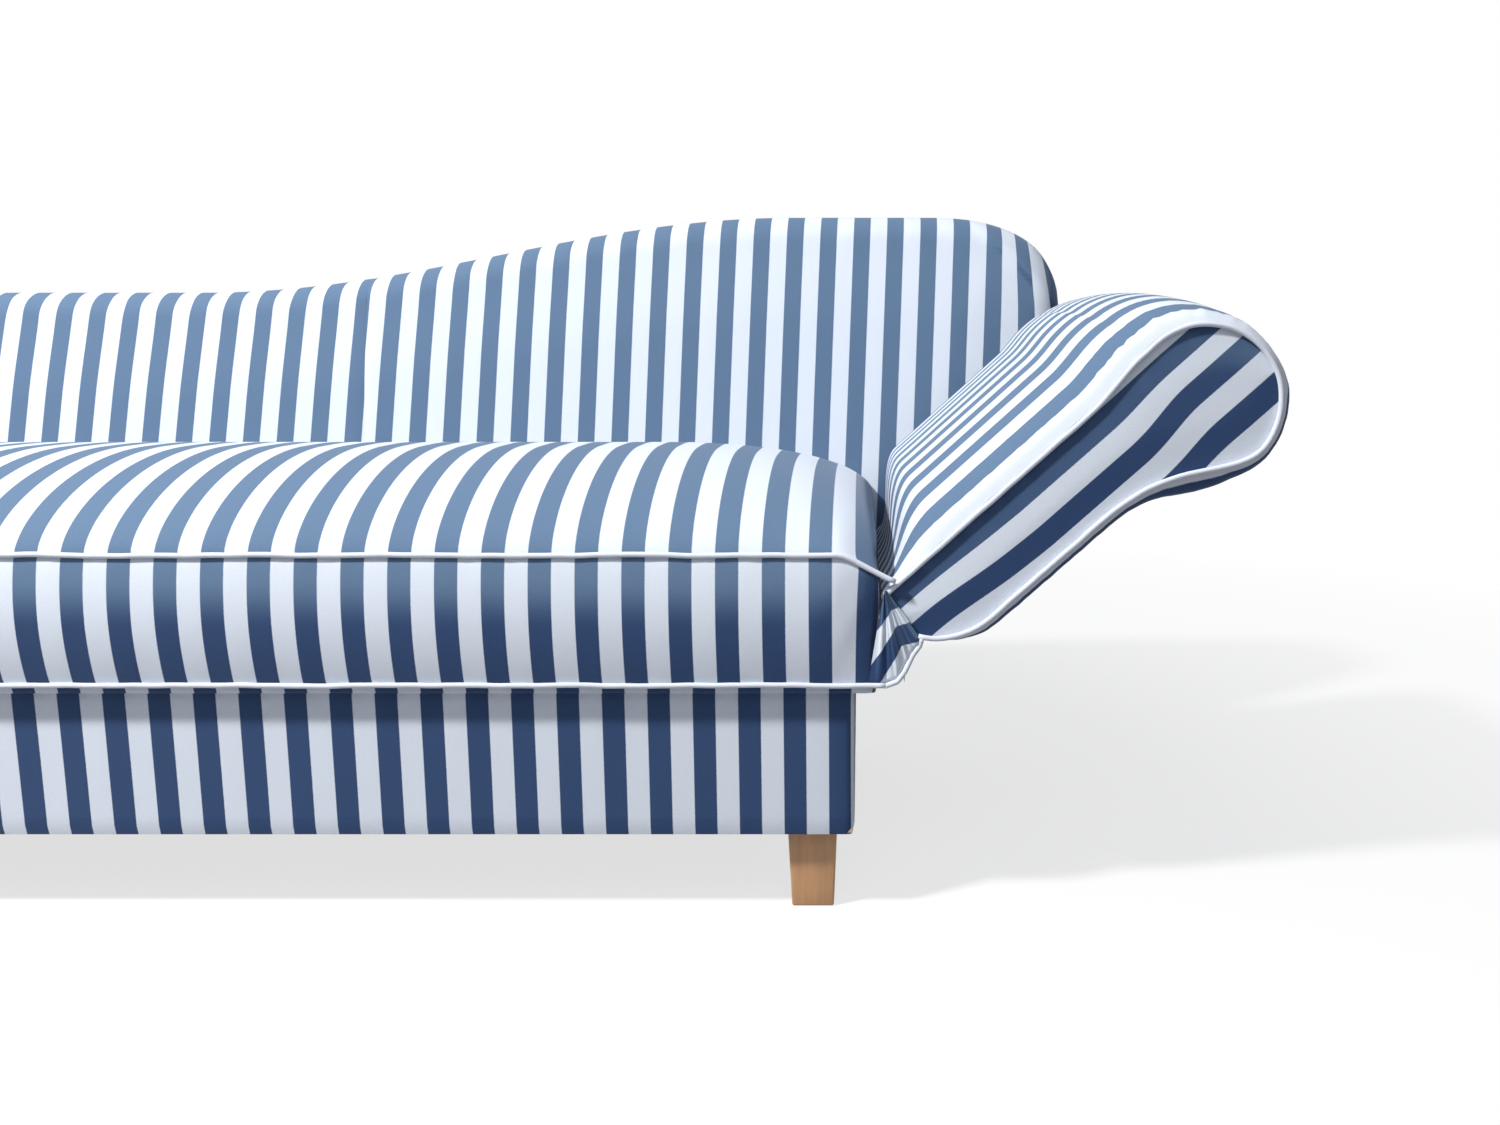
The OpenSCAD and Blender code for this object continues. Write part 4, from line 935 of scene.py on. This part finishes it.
def fold_cord_line():
    edge, _ = along(FOLD_EDGE[1:], np.linspace(0, 1, 40))
    depth = FRONT_Y - PIPE_R + (ARM_Y0 - FRONT_Y) * smooth(np.linspace(0, 1, 40))
    return np.stack([edge[:, 0], depth, edge[:, 1]], -1)


def hinge_side_place(u, v):
    y = FRONT_Y + 8 + (SEAT_Y1 - FRONT_Y - 10) * u
    z = SEAT_Z + 44 * v
    x = HINGE_X1 - 0.5 + 1.5 * np.sin(np.pi * v) + 0.6 * ripple(y, 60, 2.0) * np.sin(np.pi * v)
    return np.stack([x, y, z], -1), np.stack([y, z], -1)


# Base

BASE_R, BASE_START, BASE_TOP = 6, 200, 270
BASE_CORNERS = 5.2  # how much the two left corners shorten the way round


def base_line():
    """The base box in plan, round from a start on the rear side."""
    r = BASE_R
    x0, x1, y0, y1 = BASE_X0, BASE_X1, BASE_Y0, BASE_Y1
    start = [(x0 + BASE_START, y1)]
    return start + arc((x0 + r, y1 - r), r, 90, 180, 5) + arc((x0 + r, y0 + r), r, 180, 270, 5) \
        + arc((x1 - r, y0 + r), r, 270, 360, 5) + arc((x1 - r, y1 - r), r, 0, 90, 5) + start


def base_place(u, v):
    spot, length = along(base_line(), u)
    z = LEG_H + (BASE_TOP - LEG_H) * v
    tuck = 2.2 * smooth((0.025 - v) / 0.025)
    wave = 0.35 * ripple(u * length, 130, 0.3) * np.sin(np.pi * v)
    p = spot + right_of(base_line(), u, 0.0008) * (wave - tuck)[:, None]
    across = BASE_X0 + u * length - BASE_DEPTH - BASE_START + BASE_CORNERS
    return np.stack([p[:, 0], p[:, 1], z], -1), np.stack([across - PHOTO_X + BASE_PHASE, z], -1)


def beech():
    return wood_material("lacquered beech", colours().beech, 0.35)


def upright_edges(bm, least):
    return [e for e in bm.edges if abs(e.verts[0].co.z - e.verts[1].co.z) > least]


def build_leg(name, x, y, node):
    """A tapered leg with softened edges, its middle at x and y in mm."""
    bm = bmesh.new()
    bmesh.ops.create_cube(bm, size=1.0)
    for v in bm.verts:
        half = (LEG_TOP if v.co.z > 0 else LEG_FOOT) / 2
        height = LEG_H if v.co.z > 0 else 0
        v.co = (x + math.copysign(half, v.co.x), y + math.copysign(half, v.co.y), height)
        v.co *= 0.001
    bmesh.ops.subdivide_edges(bm, edges=upright_edges(bm, 0.05), cuts=3, use_grid_fill=True)
    foot = [e for e in bm.edges if max(v.co.z for v in e.verts) < 0.001]
    bmesh.ops.bevel(bm, geom=upright_edges(bm, 0.01) + foot, offset=0.0025, offset_type="OFFSET", segments=3,
                    affect="EDGES", profile=0.5, material=-1)
    leg = finish_object(name, bm, beech(), "root", (node,))
    leg.data.set_sharp_from_angle(angle=math.radians(35))


# Stage

def set_camera(scene):
    """The photograph's camera, with its lens shifted along the seat."""
    data = bpy.data.cameras.new("camera")
    data.sensor_width = 36
    data.lens = CAMERA_LENS
    data.shift_x = CAMERA_SHIFT
    data.clip_end = 100
    camera = bpy.data.objects.new("camera", data)
    camera.location = (PHOTO_X / 1000, (FRONT_Y - CAMERA_BEFORE) / 1000, CAMERA_Z / 1000)
    camera.rotation_euler = (math.radians(CAMERA_TILT), 0, 0)
    scene.collection.objects.link(camera)
    scene.camera = camera


def seen_directly(tree):
    """1 for rays from the camera or off a gloss, 0 for those that light the piece."""
    path = tree.nodes.new("ShaderNodeLightPath")
    return maths(tree, "MAXIMUM", path.outputs["Is Camera Ray"], path.outputs["Is Glossy Ray"])


def floor_material():
    """A pale floor that glows white far off, and gives the piece little light from below."""
    material, tree, shader = start_material("pale floor")
    shader.inputs["Roughness"].default_value = 0.9
    seen = seen_directly(tree)
    tree.links.new(mixed(tree, seen, (0.3, 0.3, 0.31, 1), (0.9, 0.9, 0.9, 1)), shader.inputs["Base Color"])
    spot = tree.nodes.new("ShaderNodeNewGeometry")
    far = tree.nodes.new("ShaderNodeVectorMath")
    far.operation = "LENGTH"
    tree.links.new(spot.outputs["Position"], far.inputs[0])
    fade = maths(tree, "MULTIPLY_ADD", far.outputs["Value"], 0.55, -0.55, clamp=True)
    share = maths(tree, "MULTIPLY_ADD", fade, 0.28, 0.72)
    glow = tree.nodes.new("ShaderNodeEmission")
    blend = tree.nodes.new("ShaderNodeMixShader")
    tree.links.new(maths(tree, "MULTIPLY", seen, share), blend.inputs[0])
    tree.links.new(shader.outputs[0], blend.inputs[1])
    tree.links.new(glow.outputs[0], blend.inputs[2])
    tree.links.new(blend.outputs[0], tree.nodes["Material Output"].inputs["Surface"])
    return material


def lay_floor(scene):
    bm = bmesh.new()
    bmesh.ops.create_grid(bm, x_segments=8, y_segments=8, size=15)
    bmesh.ops.translate(bm, verts=bm.verts, vec=(0, 4, 0))
    mesh = bpy.data.meshes.new("floor")
    bm.to_mesh(mesh)
    bm.free()
    mesh.materials.append(floor_material())
    floor = bpy.data.objects.new("floor", mesh)
    scene.collection.objects.link(floor)


def light_studio(scene):
    """White where it is seen; to the piece it is soft and bluish, stronger from above."""
    world = bpy.data.worlds.new("studio")
    scene.world = world
    world.use_nodes = True
    tree = world.node_tree
    back = tree.nodes["Background"]
    seen = seen_directly(tree)
    tree.links.new(mixed(tree, seen, (0.56, 0.59, 0.65, 1), (1, 1, 1, 1)), back.inputs["Color"])
    place = tree.nodes.new("ShaderNodeTexCoord")
    split = tree.nodes.new("ShaderNodeSeparateXYZ")
    tree.links.new(place.outputs["Generated"], split.inputs[0])
    sky = maths(tree, "MULTIPLY_ADD", split.outputs["Z"], 0.58, 0.15)
    tree.links.new(maths(tree, "MAXIMUM", seen, sky), back.inputs["Strength"])


def hang_lamp(scene, name, place, aim, size, power, colour):
    light = bpy.data.lights.new(name, "AREA")
    light.shape = "RECTANGLE"
    light.size, light.size_y = size
    light.energy = power
    light.color = colour
    lamp = bpy.data.objects.new(name, light)
    way = np.array(aim, float) - np.array(place, float)
    lamp.location = place
    lamp.rotation_euler = (math.atan2(math.hypot(way[0], way[1]), -way[2]), 0,
                           math.atan2(way[1], way[0]) - math.pi / 2)
    scene.collection.objects.link(lamp)


# Operators

class RECAMIER_OT_stage(bpy.types.Operator):
    """Make the camera, the pale floor and the soft light"""
    bl_idname = "recamier.stage"
    bl_label = "Stage"

    def execute(self, context):
        scene = context.scene
        scene.view_settings.view_transform = "Standard"
        set_camera(scene)
        lay_floor(scene)
        light_studio(scene)
        hang_lamp(scene, "key", (-2.1, -1.9, 3.6), (0.3, 0, 0.5), (0.4, 0.4), 265, (1.0, 0.99, 0.97))
        hang_lamp(scene, "fill", (0.5, -3.6, 3.2), (0.3, 0, 0.55), (2.6, 1.8), 20, (0.95, 0.97, 1.0))
        return {"FINISHED"}


class RECAMIER_OT_seat(bpy.types.Operator):
    """Sew the crowned seat top, its boxing and both pipings"""
    bl_idname = "recamier.seat"
    bl_label = "Seat"

    def execute(self, context):
        top = cloth_grid("seat_top_cloth", 170, 64, seat_top_place, striped(), "root",
                         ("seat_top_panel", "seat_foam"))
        boxing = cloth_grid("seat_boxing_cloth", 260, 20, boxing_place, striped(), "root", ("seat_boxing",))
        cloth_grid("seat_hem_cloth", 160, 5, hem_place, striped(), "root")
        piping("seat_upper_cord", upper_piping_line(), "root", ("seat_upper_piping",))
        piping("seat_lower_cord", lower_piping_line(), "root", ("seat_lower_piping",))
        return {"FINISHED"}


class RECAMIER_OT_back(bpy.types.Operator):
    """Sew the wave-topped back: two front lengths, the edge strip and the rear"""
    bl_idname = "recamier.back"
    bl_label = "Back"

    def execute(self, context):
        cloth = striped()
        left = cloth_grid("back_cloth_left", 70, 60, back_place(BACK_X0, SEAM_X, SEAM_STEP, 0.3), cloth,
                          "root", ("back_cover_left",))
        right = cloth_grid("back_cloth_right", 130, 60, back_place(SEAM_X, BACK_X1 - 0.2, 0, 1.1), cloth,
                           "root", ("back_cover_right", "back_foam"))
        cloth_grid("back_edge_cloth", 360, 10, border_place, cloth, "root")
        cloth_grid("back_rear_cloth", 120, 40, rear_place, cloth, "root",
                   ("back_rear_cover", "back_rear_pad"), flip=True)
        return {"FINISHED"}


class RECAMIER_OT_arm(bpy.types.Operator):
    """Sew the tilting arm: band, front and rear panels and their pipings"""
    bl_idname = "recamier.arm"
    bl_label = "Arm"

    def execute(self, context):
        cloth = striped()
        band = cloth_grid("arm_band_cloth", 200, 56, arm_band_place, cloth, "arm",
                          ("arm_band_cover", "arm_foam"))
        cloth_grid("arm_front_cloth", 110, 28, arm_panel_place(-1), cloth, "arm",
                   ("arm_front_panel",), flip=True)
        cloth_grid("arm_rear_cloth", 90, 20, arm_panel_place(1), cloth, "arm", ("arm_rear_panel",))
        piping("arm_front_cord", arm_piping_line(-PIPE_R), "arm", ("arm_front_piping",))
        piping("arm_rear_cord", arm_piping_line(ARM_DEPTH + PIPE_R), "arm", ("arm_rear_piping",))
        return {"FINISHED"}


class RECAMIER_OT_tilt_cloth(bpy.types.Operator):
    """Fold the cloth round the arm's tilt zone"""
    bl_idname = "recamier.tilt_cloth"
    bl_label = "Tilt zone cloth"

    def execute(self, context):
        cloth = striped()
        front = cloth_grid("tilt_front_cloth", 70, 50, fold_place, cloth, "")
        cord = piping("tilt_front_cord", fold_cord_line(), "")
        for piece in (front, cord):
            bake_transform(piece)
        side_x = HINGE_X1 + PIPE_R
        piping("tilt_side_cord", [(side_x, ARM_Y0 + 60, SEAT_Z), (side_x, ARM_Y1, SEAT_Z)], "root")
        cloth_grid("tilt_side_cloth", 60, 10, hinge_side_place, cloth, "root", ("hinge_cover",))
        return {"FINISHED"}


class RECAMIER_OT_base(bpy.types.Operator):
    """Cover the base box and set the legs"""
    bl_idname = "recamier.base"
    bl_label = "Base and legs"

    def execute(self, context):
        cloth_grid("base_cloth", 420, 16, base_place, striped(), "root", ("base_cover",), wrap=True)
        offset = LEG_INSET + LEG_TOP / 2
        for row, y in (("front", BASE_Y0 + offset), ("rear", BASE_Y1 - offset)):
            for side, x in (("right", BASE_X1 - offset), ("left", BASE_X0 + offset)):
                build_leg(f"wood_leg_{row}_{side}", x, y, f"leg_{row}_{side}")
        return {"FINISHED"}


class RECAMIER_OT_inner(bpy.types.Operator):
    """Give the frame, springs, foam and fittings their finishes"""
    bl_idname = "recamier.inner"
    bl_label = "Inner pieces"

    def execute(self, context):
        finishes = {
            "frame_wood": wood_material("raw frame wood", (0.56, 0.40, 0.24), 0.0, (0.1, 1, 1)),
            "steel": steel_material(),
            "foam": plain_soft("foam", (0.86, 0.84, 0.74), 500, 0.0006),
            "felt": plain_soft("needle felt", (0.36, 0.36, 0.34), 300, 0.0008),
            "webbing": plain_soft("jute webbing", (0.5, 0.42, 0.28), 420, 0.0008),
            "dust_cloth": plain_soft("black fleece", (0.05, 0.05, 0.055), 600, 0.0004),
            "striped_cloth": plain_soft("cotton back", (0.62, 0.66, 0.74), 500, 0.0003),
            "piping": plain_soft("cord back", (0.72, 0.76, 0.84), 500, 0.0003),
            "beech_leg": beech(),
        }
        for part in frame["record"]["subparts"]:
            obj = frame["nodes"][part["node"]]
            if obj is None:
                raise RuntimeError(f"{part['node']} isn't in the frame")
            obj.data.materials.clear()
            obj.data.materials.append(finishes[part["material_slot"]])
        return {"FINISHED"}


class RECAMIER_PT_panel(bpy.types.Panel):
    """Sizes, colours and the steps in order"""
    bl_label = "Recamier"
    bl_idname = "RECAMIER_PT_panel"
    bl_space_type = "VIEW_3D"
    bl_region_type = "UI"
    bl_category = "Recamier"

    def draw(self, context):
        layout = self.layout
        for group in (context.scene.recamier_sizes, context.scene.recamier_colours):
            box = layout.box()
            for key in group.__annotations__:
                box.prop(group, key)
        for step in STEPS:
            layout.operator(step.bl_idname)


STEPS = (RECAMIER_OT_stage, RECAMIER_OT_inner, RECAMIER_OT_seat, RECAMIER_OT_back, RECAMIER_OT_arm,
         RECAMIER_OT_tilt_cloth, RECAMIER_OT_base)
CLASSES = (RecamierSizes, RecamierColours) + STEPS + (RECAMIER_PT_panel,)


def register():
    for cls in CLASSES:
        bpy.utils.register_class(cls)
    bpy.types.Scene.recamier_sizes = bpy.props.PointerProperty(type=RecamierSizes)
    bpy.types.Scene.recamier_colours = bpy.props.PointerProperty(type=RecamierColours)


def unregister():
    del bpy.types.Scene.recamier_colours
    del bpy.types.Scene.recamier_sizes
    for cls in reversed(CLASSES):
        bpy.utils.unregister_class(cls)


def main():
    register()
    bpy.ops.recamier.stage()
    bpy.ops.recamier.inner()
    bpy.ops.recamier.seat()
    bpy.ops.recamier.back()
    bpy.ops.recamier.arm()
    bpy.ops.recamier.tilt_cloth()
    bpy.ops.recamier.base()


if __name__ == "__main__":
    main()
